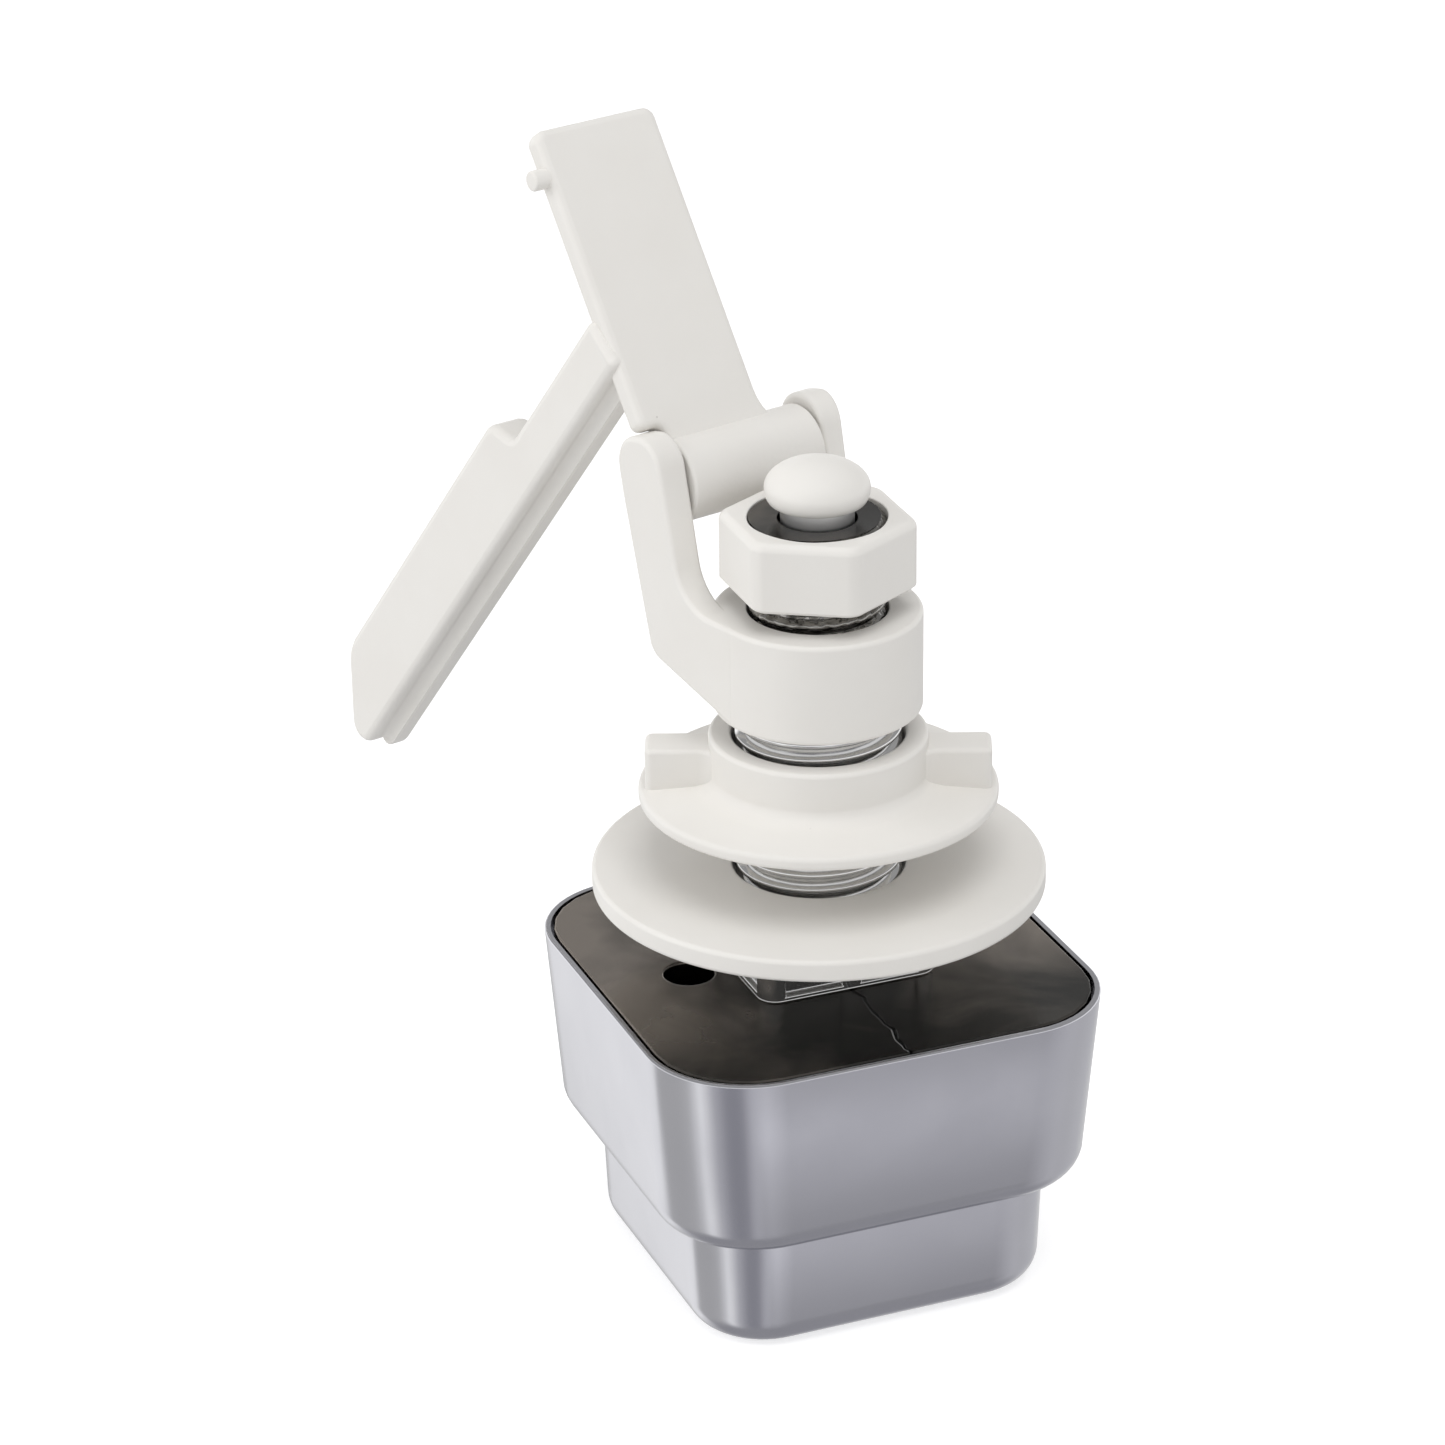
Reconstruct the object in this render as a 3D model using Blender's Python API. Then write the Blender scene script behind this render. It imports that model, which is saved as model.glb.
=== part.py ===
# Side-mounted toilet tank flush button: a square press button in a plated housing,
# a hollow threaded shank, and a bell-crank lever in a bracket clamped on the shank.
# Metres, +Z up along the shank; the part stands on the face of its button.
import math

import bmesh
import bpy
from mathutils import Matrix, Vector

# Driving sizes of the press button
BUTTON_CORNER = 0.0082
BUTTON_DRAFT = 0.0005
BUTTON_EDGE_ROUND = 0.0030
BUTTON_WALL = 0.0018
BUTTON_PROUD = 0.0125
BUTTON_LIP_HEIGHT = 0.0018
BOSS_RADIUS = 0.0053
BOSS_HEIGHT = 0.0110

# Driving sizes of the housing
HOUSING_SIDE = 0.0459
HOUSING_CORNER = 0.0101
HOUSING_DEPTH = 0.0193
HOUSING_TAPER = 0.0011
HOUSING_EDGE_ROUND = 0.0027
HOUSING_FRONT_FLAT = 0.0003
HOUSING_WALL = 0.0016
HOUSING_LIP = 0.0020
RIM_WALL = 0.0006
RIM_ROUND = 0.0002

# Driving sizes of the back plate, neck and threaded shank
PLATE_THICK = 0.0020
DRAIN_RADIUS = 0.00245
DRAIN_X = -0.0131
DRAIN_Y = 0.0012
NECK_X = 0.0180
NECK_Y = 0.0162
NECK_CORNER = 0.0018
NECK_HEIGHT = 0.0077
NECK_PANEL_DEPTH = 0.0006
NECK_PANEL_SIDE = 0.0022
NECK_PANEL_FOOT = 0.0006
NECK_RIB = 0.0020
SHANK_RADIUS = 0.0080
SHANK_UPPER_RADIUS = 0.0066
SHANK_LENGTH = 0.0457
SHOULDER_HEIGHT = 0.0263
SHANK_CHAMFER = 0.0005
SPRING_BORE = 0.0055
SPRING_BORE_DEPTH = 0.0087

# Driving sizes of the rod, its head and the return spring
ROD_RADIUS = 0.0035
ROD_SEAT_DEPTH = 0.0095
HEAD_RADIUS = 0.0050
HEAD_FOOT_RADIUS = 0.0042
HEAD_HEIGHT = 0.0042
HEAD_RIM = 0.0015
HEAD_SOCKET = 0.0013
HEAD_LIFT = 0.0015
SPRING_RADIUS = 0.0046
SPRING_WIRE = 0.0008
SPRING_TURNS = 7

# Driving sizes of what is threaded on the shank
WASHER_RADIUS = 0.0218
WASHER_THICK = 0.0022
WASHER_EDGE = 0.0004
NUT_LIFT = 0.0172
NUT_HEIGHT = 0.0067
NUT_HUB_RADIUS = 0.0105
NUT_FLANGE_RADIUS = 0.0172
NUT_FLANGE_THICK = 0.0013
NUT_CONE_HEIGHT = 0.0006
NUT_CONE_FOOT = 0.0012
WING_REACH = 0.0165
WING_THICK = 0.0044
WING_DROP = 0.0012
WING_FILLET = 0.0022
WING_TURN = math.radians(-22.8)
LOCK_NUT_ACROSS_FLATS = 0.0166
LOCK_NUT_HEIGHT = 0.0069
LOCK_NUT_CHAMFER = 0.0009
LOCK_NUT_LIFT = 0.0024
LOCK_NUT_TURN = math.radians(-0.8)

# Driving sizes of the bracket
BRACKET_TURN = math.radians(14.2)
COLLAR_RADIUS = 0.00995
COLLAR_HEIGHT = 0.0100
ARM_GAP = 0.0160
ARM_THICK = 0.0025
ARM_LEAN = math.radians(13.5)
ARM_FOOT_BACK = 0.0125
ARM_FOOT_RISE = 0.0036
ARM_FILLET = 0.0025
EAR_RADIUS = 0.0035
EAR_RISE = 0.0015
HINGE_BACK = 0.0137
HINGE_ABOVE_COLLAR = 0.0100
BRACKET_EDGE = 0.0004

# Driving sizes of the lever
LEVER_TILT = math.radians(56.0)
BARREL_RADIUS = 0.0037
TRUNNION_RADIUS = 0.0018
TRUNNION_LENGTH = 0.0016
PADDLE_LENGTH = 0.0352
PADDLE_LEFT = 0.0101
PADDLE_RIGHT = 0.0030
PADDLE_FACE = 0.0021
PADDLE_THICK = 0.0024
PADDLE_CORNER = 0.0010
PADDLE_FLARE = 0.0044
PADDLE_EAR_GAP = 0.0006
PEG_RADIUS = 0.0006
PEG_LENGTH = 0.0015
PEG_FROM_TIP = 0.0044
OUTPUT_ANGLE = math.radians(-106.0)
OUTPUT_ROOT = 0.0106
OUTPUT_LENGTH = 0.0732
OUTPUT_NECK_LENGTH = 0.0192
OUTPUT_STEP_RUN = 0.0020
OUTPUT_NECK_HEIGHT = 0.0061
OUTPUT_HEIGHT = 0.0092
OUTPUT_END_SLANT = 0.0085
OUTPUT_BAR_WIDTH = 0.0043
OUTPUT_BAR_ROUND = 0.0010
RIB_HEIGHT = 0.0019
RIB_WIDTH = 0.0010
RIB_INSET = 0.0002
RIB_SHORTER = 0.0036

# Clearances and fineness
REST_GAP = 0.0003
SLIDE_GAP = 0.0003
SMALL_OVERLAP = 0.0005
ROUND_STEPS = 48
SMALL_STEPS = 24
CORNER_STEPS = 6
FILLET_STEPS = 4
SPRING_STEPS = 16
SHARP_ANGLE = math.radians(35.0)

# Levels along the shank, worked out from the sizes above
HOUSING_FRONT_Z = BUTTON_PROUD
BACK_Z = HOUSING_FRONT_Z + HOUSING_DEPTH
PLATE_Z = BACK_Z - PLATE_THICK
LEDGE_Z = PLATE_Z - REST_GAP
NECK_TOP_Z = BACK_Z + NECK_HEIGHT
SHOULDER_Z = BACK_Z + SHOULDER_HEIGHT
SHANK_END_Z = BACK_Z + SHANK_LENGTH
GUIDE_Z = BACK_Z + SPRING_BORE_DEPTH
HOUSING_LIP_Z = HOUSING_FRONT_Z + HOUSING_LIP
BUTTON_LIP_Z = HOUSING_LIP_Z + REST_GAP
BUTTON_TOP_Z = BUTTON_LIP_Z + BUTTON_LIP_HEIGHT
BOSS_TOP_Z = BUTTON_WALL + BOSS_HEIGHT
ROD_FOOT_Z = BOSS_TOP_Z - ROD_SEAT_DEPTH + REST_GAP
HEAD_Z = SHANK_END_Z + HEAD_LIFT
ROD_TOP_Z = HEAD_Z + HEAD_SOCKET - REST_GAP
WASHER_Z = NECK_TOP_Z + REST_GAP
NUT_Z = BACK_Z + NUT_LIFT
COLLAR_Z = SHOULDER_Z + REST_GAP
COLLAR_TOP_Z = COLLAR_Z + COLLAR_HEIGHT
LOCK_NUT_Z = COLLAR_TOP_Z + LOCK_NUT_LIFT
HINGE_Z = COLLAR_TOP_Z + HINGE_ABOVE_COLLAR

# Outer and inner reaches worked out from the sizes above
ARM_INNER = ARM_GAP / 2
ARM_OUTER = ARM_INNER + ARM_THICK
BARREL_HALF = ARM_INNER - SLIDE_GAP
EAR_REACH = EAR_RISE + EAR_RADIUS
FRONT_SIDE = HOUSING_SIDE - 2 * HOUSING_TAPER
OPENING_SIDE = FRONT_SIDE - 2 * (HOUSING_EDGE_ROUND + HOUSING_FRONT_FLAT)
BUTTON_SIDE = OPENING_SIDE - 2 * SLIDE_GAP
CAVITY_SIDE = FRONT_SIDE - 2 * HOUSING_WALL
CAVITY_CORNER = HOUSING_CORNER - HOUSING_WALL
PLATE_SEAT_SIDE = HOUSING_SIDE - 2 * RIM_WALL
PLATE_SEAT_CORNER = HOUSING_CORNER - RIM_WALL
LIP_SIDE = CAVITY_SIDE - 2 * SLIDE_GAP
LIP_CORNER = CAVITY_CORNER - SLIDE_GAP


def make_material(name, colour, roughness, metallic):
    material = bpy.data.materials.new(name)
    material.use_nodes = True
    shader = material.node_tree.nodes["Principled BSDF"]
    shader.inputs["Base Color"].default_value = (*colour, 1.0)
    shader.inputs["Roughness"].default_value = roughness
    shader.inputs["Metallic"].default_value = metallic
    return material


def add_object(name, bm, material=None):
    bmesh.ops.remove_doubles(bm, verts=bm.verts, dist=1e-6)
    bmesh.ops.recalc_face_normals(bm, faces=bm.faces)
    mesh = bpy.data.meshes.new(name)
    bm.to_mesh(mesh)
    bm.free()
    mesh.shade_smooth()
    mesh.set_sharp_from_angle(angle=SHARP_ANGLE)
    obj = bpy.data.objects.new(name, mesh)
    bpy.context.scene.collection.objects.link(obj)
    if material:
        mesh.materials.append(material)
    return obj


def add_tool(name, bm):
    obj = add_object(name, bm)
    obj.hide_render = True
    obj.display_type = "WIRE"
    return obj


def combine(target, tool, operation):
    bpy.context.view_layer.update()
    tool.parent = target.parent
    tool.matrix_local = target.matrix_local.copy()
    modifier = target.modifiers.new(operation.lower(), "BOOLEAN")
    modifier.operation = operation
    modifier.solver = "EXACT"
    modifier.object = tool


def lathe(profile, steps=ROUND_STEPS):
    # Turns a closed outline of (radius, height) points about the Z axis.
    bm = bmesh.new()
    verts = [bm.verts.new((radius, 0.0, height)) for radius, height in profile]
    edges = [bm.edges.new((a, b)) for a, b in zip(verts, verts[1:])]
    if min(radius for radius, _ in profile) > 0:
        edges.append(bm.edges.new((verts[-1], verts[0])))
    bmesh.ops.spin(bm, geom=verts + edges, axis=(0, 0, 1), cent=(0, 0, 0),
                   angle=math.tau, steps=steps, use_merge=True)
    bmesh.ops.remove_doubles(bm, verts=bm.verts, dist=1e-6)
    return bm


def rounded_ring(side_x, side_y, corner, height):
    # A rounded rectangle at one height, as points in order.
    points = []
    for quarter in range(4):
        sign_x = 1 if quarter in (0, 3) else -1
        sign_y = 1 if quarter in (0, 1) else -1
        centre = Vector((sign_x * (side_x / 2 - corner), sign_y * (side_y / 2 - corner), height))
        for step in range(CORNER_STEPS + 1):
            angle = (quarter + step / CORNER_STEPS) * math.pi / 2
            points.append(centre + corner * Vector((math.cos(angle), math.sin(angle), 0)))
    return points


def square_ring(side, corner, height):
    return rounded_ring(side, side, corner, height)


def loft(rings, closed):
    # Skins a row of rings; closed joins the last to the first, else both ends are capped.
    bm = bmesh.new()
    rows = [[bm.verts.new(point) for point in ring] for ring in rings]
    pairs = list(zip(rows, rows[1:]))
    if closed:
        pairs.append((rows[-1], rows[0]))
    for low, high in pairs:
        count = len(low)
        for i in range(count):
            j = (i + 1) % count
            bm.faces.new((low[i], low[j], high[j], high[i]))
    if not closed:
        bm.faces.new(rows[0][::-1])
        bm.faces.new(rows[-1])
    return bm


def prism(outline, low, high, axes, bevel=0.0):
    # Pushes a flat outline from low to high; axes names the outline's two axes and the push axis.
    bm = bmesh.new()

    def place(point, depth):
        values = [0.0, 0.0, 0.0]
        values["XYZ".index(axes[0])] = point[0]
        values["XYZ".index(axes[1])] = point[1]
        values["XYZ".index(axes[2])] = depth
        return values

    face = bm.faces.new([bm.verts.new(place(point, low)) for point in outline])
    top = bmesh.ops.extrude_face_region(bm, geom=[face])
    moved = [item for item in top["geom"] if isinstance(item, bmesh.types.BMVert)]
    shift = Vector(place((0, 0), high)) - Vector(place((0, 0), low))
    bmesh.ops.translate(bm, verts=moved, vec=shift)
    bmesh.ops.recalc_face_normals(bm, faces=bm.faces)
    if bevel:
        sharp = [edge for edge in bm.edges if edge.calc_face_angle() > SHARP_ANGLE]
        bmesh.ops.bevel(bm, geom=sharp, offset=bevel, segments=2,
                        profile=0.5, affect="EDGES", clamp_overlap=True)
    return bm


def cylinder(radius, low, high, axis, steps=SMALL_STEPS, centre=(0.0, 0.0, 0.0)):
    bm = bmesh.new()
    bmesh.ops.create_cone(bm, cap_ends=True, segments=steps, radius1=radius, radius2=radius,
                          depth=high - low)
    bmesh.ops.translate(bm, verts=bm.verts, vec=(0, 0, (low + high) / 2))
    if axis == "X":
        bmesh.ops.rotate(bm, verts=bm.verts, matrix=Matrix.Rotation(math.pi / 2, 3, "Y"))
    if axis == "Y":
        bmesh.ops.rotate(bm, verts=bm.verts, matrix=Matrix.Rotation(-math.pi / 2, 3, "X"))
    bmesh.ops.translate(bm, verts=bm.verts, vec=centre)
    return bm


def merge(*meshes):
    # Gathers several closed bodies into one mesh, for use as one cutter.
    whole = bmesh.new()
    for bm in meshes:
        bmesh.ops.recalc_face_normals(bm, faces=bm.faces)
        scratch = bpy.data.meshes.new("scratch")
        bm.to_mesh(scratch)
        bm.free()
        whole.from_mesh(scratch)
        bpy.data.meshes.remove(scratch)
    return whole


def arc(centre, radius, start, end, steps):
    angles = [start + (end - start) * i / steps for i in range(steps + 1)]
    return [(centre[0] + radius * math.cos(a), centre[1] + radius * math.sin(a)) for a in angles]


def build_housing(material):
    # A drawn square shell: drafted walls, a rounded front edge, a lip round the button and a thin back rim.
    opening_corner = BUTTON_CORNER + SLIDE_GAP
    wall_z = HOUSING_FRONT_Z + HOUSING_EDGE_ROUND
    rings = [square_ring(HOUSING_SIDE - 2 * RIM_ROUND, HOUSING_CORNER - RIM_ROUND, BACK_Z),
             square_ring(HOUSING_SIDE, HOUSING_CORNER, BACK_Z - RIM_ROUND)]
    for step in range(CORNER_STEPS + 1):
        turn = step / CORNER_STEPS * math.pi / 2
        inset = HOUSING_EDGE_ROUND * (1 - math.cos(turn))
        height = wall_z - HOUSING_EDGE_ROUND * math.sin(turn)
        rings.append(square_ring(FRONT_SIDE - 2 * inset, HOUSING_CORNER - inset, height))
    rings += [square_ring(OPENING_SIDE, opening_corner, HOUSING_FRONT_Z),
              square_ring(OPENING_SIDE, opening_corner, HOUSING_LIP_Z),
              square_ring(CAVITY_SIDE, CAVITY_CORNER, HOUSING_LIP_Z),
              square_ring(CAVITY_SIDE, CAVITY_CORNER, LEDGE_Z),
              square_ring(PLATE_SEAT_SIDE, PLATE_SEAT_CORNER, LEDGE_Z),
              square_ring(PLATE_SEAT_SIDE, PLATE_SEAT_CORNER, BACK_Z)]
    return add_object("housing", loft(rings, closed=True), material)


def build_shank(material):
    # Back plate, rectangular neck with sunk panels, and the stepped hollow shank in one moulding.
    plate_side = PLATE_SEAT_SIDE - 2 * REST_GAP
    plate_corner = PLATE_SEAT_CORNER - REST_GAP
    shank = add_object("threaded_shank", loft([square_ring(plate_side, plate_corner, PLATE_Z),
                                               square_ring(plate_side, plate_corner, BACK_Z)],
                                              closed=False), material)
    neck_low = BACK_Z - SMALL_OVERLAP
    neck = loft([rounded_ring(NECK_X, NECK_Y, NECK_CORNER, neck_low),
                 rounded_ring(NECK_X, NECK_Y, NECK_CORNER, NECK_TOP_Z)], closed=False)
    combine(shank, add_tool("neck_form", neck), "UNION")
    column = lathe([(0, SHANK_END_Z), (SHANK_UPPER_RADIUS - SHANK_CHAMFER, SHANK_END_Z),
                    (SHANK_UPPER_RADIUS, SHANK_END_Z - SHANK_CHAMFER),
                    (SHANK_UPPER_RADIUS, SHOULDER_Z), (SHANK_RADIUS - SHANK_CHAMFER, SHOULDER_Z),
                    (SHANK_RADIUS, SHOULDER_Z - SHANK_CHAMFER),
                    (SHANK_RADIUS, NECK_TOP_Z - SMALL_OVERLAP), (0, NECK_TOP_Z - SMALL_OVERLAP)])
    combine(shank, add_tool("column_form", column), "UNION")
    guide_radius = ROD_RADIUS + SLIDE_GAP
    bore = lathe([(0, SHANK_END_Z + SMALL_OVERLAP), (guide_radius, SHANK_END_Z + SMALL_OVERLAP),
                  (guide_radius, GUIDE_Z), (SPRING_BORE, GUIDE_Z),
                  (SPRING_BORE, PLATE_Z - SMALL_OVERLAP), (0, PLATE_Z - SMALL_OVERLAP)], SMALL_STEPS)
    combine(shank, add_tool("bore_form", bore), "DIFFERENCE")
    drain = cylinder(DRAIN_RADIUS, PLATE_Z - SMALL_OVERLAP, BACK_Z + SMALL_OVERLAP, "Z",
                     centre=(DRAIN_X, DRAIN_Y, 0))
    combine(shank, add_tool("drain_form", drain), "DIFFERENCE")
    combine(shank, add_tool("panel_form", neck_panels()), "DIFFERENCE")
    return shank


def neck_panels():
    # Shallow recesses in the four faces of the neck; the long faces keep a rib in the middle.
    low = BACK_Z + NECK_PANEL_FOOT
    high = NECK_TOP_Z - NECK_PANEL_FOOT
    half_x = NECK_X / 2 - NECK_PANEL_SIDE
    half_y = NECK_Y / 2 - NECK_PANEL_SIDE
    panels = []
    for start, end, deep, axes in ((-half_x, -NECK_RIB / 2, NECK_Y, "XZY"),
                                   (NECK_RIB / 2, half_x, NECK_Y, "XZY"),
                                   (-half_y, half_y, NECK_X, "YZX")):
        outline = [(start, low), (end, low), (end, high), (start, high)]
        for side in (-1, 1):
            inner = side * (deep / 2 - NECK_PANEL_DEPTH)
            outer = side * (deep / 2 + SMALL_OVERLAP)
            panels.append(prism(outline, inner, outer, axes))
    return merge(*panels)


def build_button(material):
    # A square cap with rounded front edges, drafted walls, a retaining lip and a boss for the rod.
    front_side = BUTTON_SIDE - 2 * BUTTON_DRAFT
    front_corner = BUTTON_CORNER - BUTTON_DRAFT
    rings = []
    for step in range(CORNER_STEPS + 1):
        turn = step / CORNER_STEPS * math.pi / 2
        inset = BUTTON_EDGE_ROUND * (1 - math.sin(turn))
        height = BUTTON_EDGE_ROUND * (1 - math.cos(turn))
        rings.append(square_ring(front_side - 2 * inset, front_corner - inset, height))
    rings += [square_ring(BUTTON_SIDE, BUTTON_CORNER, BUTTON_LIP_Z),
              square_ring(LIP_SIDE, LIP_CORNER, BUTTON_LIP_Z),
              square_ring(LIP_SIDE, LIP_CORNER, BUTTON_TOP_Z),
              square_ring(BUTTON_SIDE - 2 * BUTTON_WALL, BUTTON_CORNER - BUTTON_WALL, BUTTON_TOP_Z),
              square_ring(front_side - 2 * BUTTON_WALL, front_corner - BUTTON_WALL, BUTTON_EDGE_ROUND),
              square_ring(front_side - 2 * BUTTON_EDGE_ROUND, front_corner - BUTTON_EDGE_ROUND, BUTTON_WALL)]
    button = add_object("push_button", loft(rings, closed=False), material)
    boss = cylinder(BOSS_RADIUS, BUTTON_WALL - SMALL_OVERLAP, BOSS_TOP_Z, "Z")
    combine(button, add_tool("boss_form", boss), "UNION")
    seat = cylinder(ROD_RADIUS + SLIDE_GAP, BOSS_TOP_Z - ROD_SEAT_DEPTH, BOSS_TOP_Z + SMALL_OVERLAP, "Z")
    combine(button, add_tool("seat_form", seat), "DIFFERENCE")
    return button


def build_rod(material, parent):
    rod = add_object("push_rod", cylinder(ROD_RADIUS, ROD_FOOT_Z, ROD_TOP_Z, "Z"), material)
    rod.parent = parent
    return rod


def build_head(material, parent):
    # A mushroom head, domed above its widest level and rounded in below it, with a socket for the rod.
    socket = ROD_RADIUS + SLIDE_GAP
    socket_z = HEAD_Z + HEAD_SOCKET
    rim_z = HEAD_Z + HEAD_RIM
    dome_rise = HEAD_HEIGHT - HEAD_RIM
    undercut = HEAD_RADIUS - HEAD_FOOT_RADIUS
    profile = []
    for step in range(CORNER_STEPS + 1):
        turn = step / CORNER_STEPS * math.pi / 2
        profile.append((HEAD_RADIUS * math.sin(turn), rim_z + dome_rise * math.cos(turn)))
    for step in range(1, FILLET_STEPS + 1):
        turn = step / FILLET_STEPS * math.pi / 2
        profile.append((HEAD_FOOT_RADIUS + undercut * math.cos(turn), rim_z - HEAD_RIM * math.sin(turn)))
    profile += [(socket, HEAD_Z), (socket, socket_z), (0, socket_z)]
    head = add_object("rod_head", lathe(profile, SMALL_STEPS), material)
    head.parent = parent
    return head


def build_spring(material, parent):
    # A helical wire between the button's boss and the guide in the shank.
    low = BOSS_TOP_Z + REST_GAP + SPRING_WIRE / 2
    high = GUIDE_Z - REST_GAP - SPRING_WIRE / 2
    curve = bpy.data.curves.new("return_spring", "CURVE")
    curve.dimensions = "3D"
    curve.bevel_depth = SPRING_WIRE / 2
    curve.bevel_resolution = 1
    curve.use_fill_caps = True
    spline = curve.splines.new("POLY")
    count = SPRING_TURNS * SPRING_STEPS
    spline.points.add(count)
    for i, point in enumerate(spline.points):
        angle = math.tau * i / SPRING_STEPS
        height = low + (high - low) * i / count
        point.co = (SPRING_RADIUS * math.cos(angle), SPRING_RADIUS * math.sin(angle), height, 1.0)
    curve.materials.append(material)
    spring = bpy.data.objects.new("return_spring", curve)
    bpy.context.scene.collection.objects.link(spring)
    spring.parent = parent
    return spring


def build_washer(material):
    bore = SHANK_RADIUS + SLIDE_GAP
    top = WASHER_Z + WASHER_THICK
    edge = WASHER_RADIUS - WASHER_EDGE
    profile = [(bore, top), (edge, top), (WASHER_RADIUS, top - WASHER_EDGE),
               (WASHER_RADIUS, WASHER_Z + WASHER_EDGE), (edge, WASHER_Z), (bore, WASHER_Z)]
    return add_object("flat_washer", lathe(profile), material)


def wing_outline():
    # One wing in plan, from inside the hub wall to its squared end, filleted where it joins the hub.
    half = WING_THICK / 2
    root = (SHANK_RADIUS + SLIDE_GAP + NUT_HUB_RADIUS) / 2
    centre = (root + WING_FILLET, half + WING_FILLET)
    fillet = arc(centre, WING_FILLET, -math.pi, -math.pi / 2, FILLET_STEPS)
    mirrored = [(x, -y) for x, y in fillet]
    return mirrored + [(WING_REACH, -half), (WING_REACH, half)] + fillet[::-1]


def build_mounting_nut(material):
    # A wing nut: round hub on a coned flange, with two wings.
    bore = SHANK_RADIUS + SLIDE_GAP
    top = NUT_Z + NUT_HEIGHT
    flange_top = NUT_Z + NUT_FLANGE_THICK
    cone_top = flange_top + NUT_CONE_HEIGHT
    profile = [(bore, top), (NUT_HUB_RADIUS - BRACKET_EDGE, top), (NUT_HUB_RADIUS, top - BRACKET_EDGE),
               (NUT_HUB_RADIUS, cone_top), (NUT_HUB_RADIUS + NUT_CONE_FOOT, cone_top - BRACKET_EDGE),
               (NUT_FLANGE_RADIUS - BRACKET_EDGE, flange_top),
               (NUT_FLANGE_RADIUS, flange_top - BRACKET_EDGE),
               (NUT_FLANGE_RADIUS, NUT_Z + BRACKET_EDGE), (NUT_FLANGE_RADIUS - BRACKET_EDGE, NUT_Z),
               (bore, NUT_Z)]
    nut = add_object("mounting_nut", lathe(profile), material)
    wing_low = NUT_Z + NUT_FLANGE_THICK / 2
    wing_high = top - WING_DROP
    for side in range(2):
        bm = prism(wing_outline(), wing_low, wing_high, "XYZ", BRACKET_EDGE)
        turn = Matrix.Rotation(WING_TURN + side * math.pi, 3, "Z")
        bmesh.ops.rotate(bm, verts=bm.verts, matrix=turn)
        combine(nut, add_tool("wing_form_%d" % side, bm), "UNION")
    return nut


def build_lock_nut(material):
    # A plain hexagon nut whose corners are turned down top and bottom.
    corner = LOCK_NUT_ACROSS_FLATS / math.sqrt(3)
    top = LOCK_NUT_Z + LOCK_NUT_HEIGHT
    hexagon = cylinder(corner, LOCK_NUT_Z, top, "Z", steps=6)
    bmesh.ops.rotate(hexagon, verts=hexagon.verts, matrix=Matrix.Rotation(LOCK_NUT_TURN, 3, "Z"))
    nut = add_object("lock_nut", hexagon, material)
    flat = LOCK_NUT_ACROSS_FLATS / 2
    turned = lathe([(0, top), (flat, top), (corner + SMALL_OVERLAP, top - LOCK_NUT_CHAMFER),
                    (corner + SMALL_OVERLAP, LOCK_NUT_Z + LOCK_NUT_CHAMFER), (flat, LOCK_NUT_Z),
                    (0, LOCK_NUT_Z)])
    combine(nut, add_tool("turned_form", turned), "INTERSECT")
    bore = cylinder(SHANK_UPPER_RADIUS + SLIDE_GAP, LOCK_NUT_Z - SMALL_OVERLAP, top + SMALL_OVERLAP,
                    "Z", steps=ROUND_STEPS)
    combine(nut, add_tool("lock_bore_form", bore), "DIFFERENCE")
    return nut


def arm_outline():
    # Side view of one bracket arm in (Y, Z): a foot on the collar, a leaning shank and a round ear.
    along = Vector((math.sin(ARM_LEAN), math.cos(ARM_LEAN)))
    centre = Vector((HINGE_BACK, HINGE_Z)) + EAR_RISE * along
    front = centre - EAR_RADIUS * Vector((along.y, -along.x))
    front_foot = front - along * ((front.y - COLLAR_TOP_Z) / along.y)
    ear = arc(centre, EAR_RADIUS, -ARM_LEAN, math.pi - ARM_LEAN, 2 * CORNER_STEPS)
    run = ARM_FILLET * math.tan((math.pi / 2 - ARM_LEAN) / 2)
    fillet = arc((front_foot.x - run, COLLAR_TOP_Z + ARM_FILLET), ARM_FILLET, -ARM_LEAN, -math.pi / 2,
                 FILLET_STEPS)
    return [(0, COLLAR_Z), (ARM_FOOT_BACK, COLLAR_Z + ARM_FOOT_RISE), *ear, *fillet, (0, COLLAR_TOP_Z)]


def build_bracket(material, parent):
    # A collar round the shank with two arms that carry the lever's trunnions.
    bore = SHANK_UPPER_RADIUS + SLIDE_GAP
    edge = COLLAR_RADIUS - BRACKET_EDGE
    profile = [(bore, COLLAR_TOP_Z), (edge, COLLAR_TOP_Z), (COLLAR_RADIUS, COLLAR_TOP_Z - BRACKET_EDGE),
               (COLLAR_RADIUS, COLLAR_Z + BRACKET_EDGE), (edge, COLLAR_Z), (bore, COLLAR_Z)]
    bracket = add_object("lever_bracket", lathe(profile), material)
    bracket.parent = parent
    for side in (-1, 1):
        arm = prism(arm_outline(), side * ARM_INNER, side * ARM_OUTER, "YZX", BRACKET_EDGE)
        combine(bracket, add_tool("arm_form_%s" % ("left" if side < 0 else "right"), arm), "UNION")
    reach = BARREL_HALF + TRUNNION_LENGTH + REST_GAP
    sockets = cylinder(TRUNNION_RADIUS + SLIDE_GAP, -reach, reach, "X",
                       centre=(0, HINGE_BACK, HINGE_Z))
    combine(bracket, add_tool("socket_form", sockets), "DIFFERENCE")
    return bracket


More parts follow.
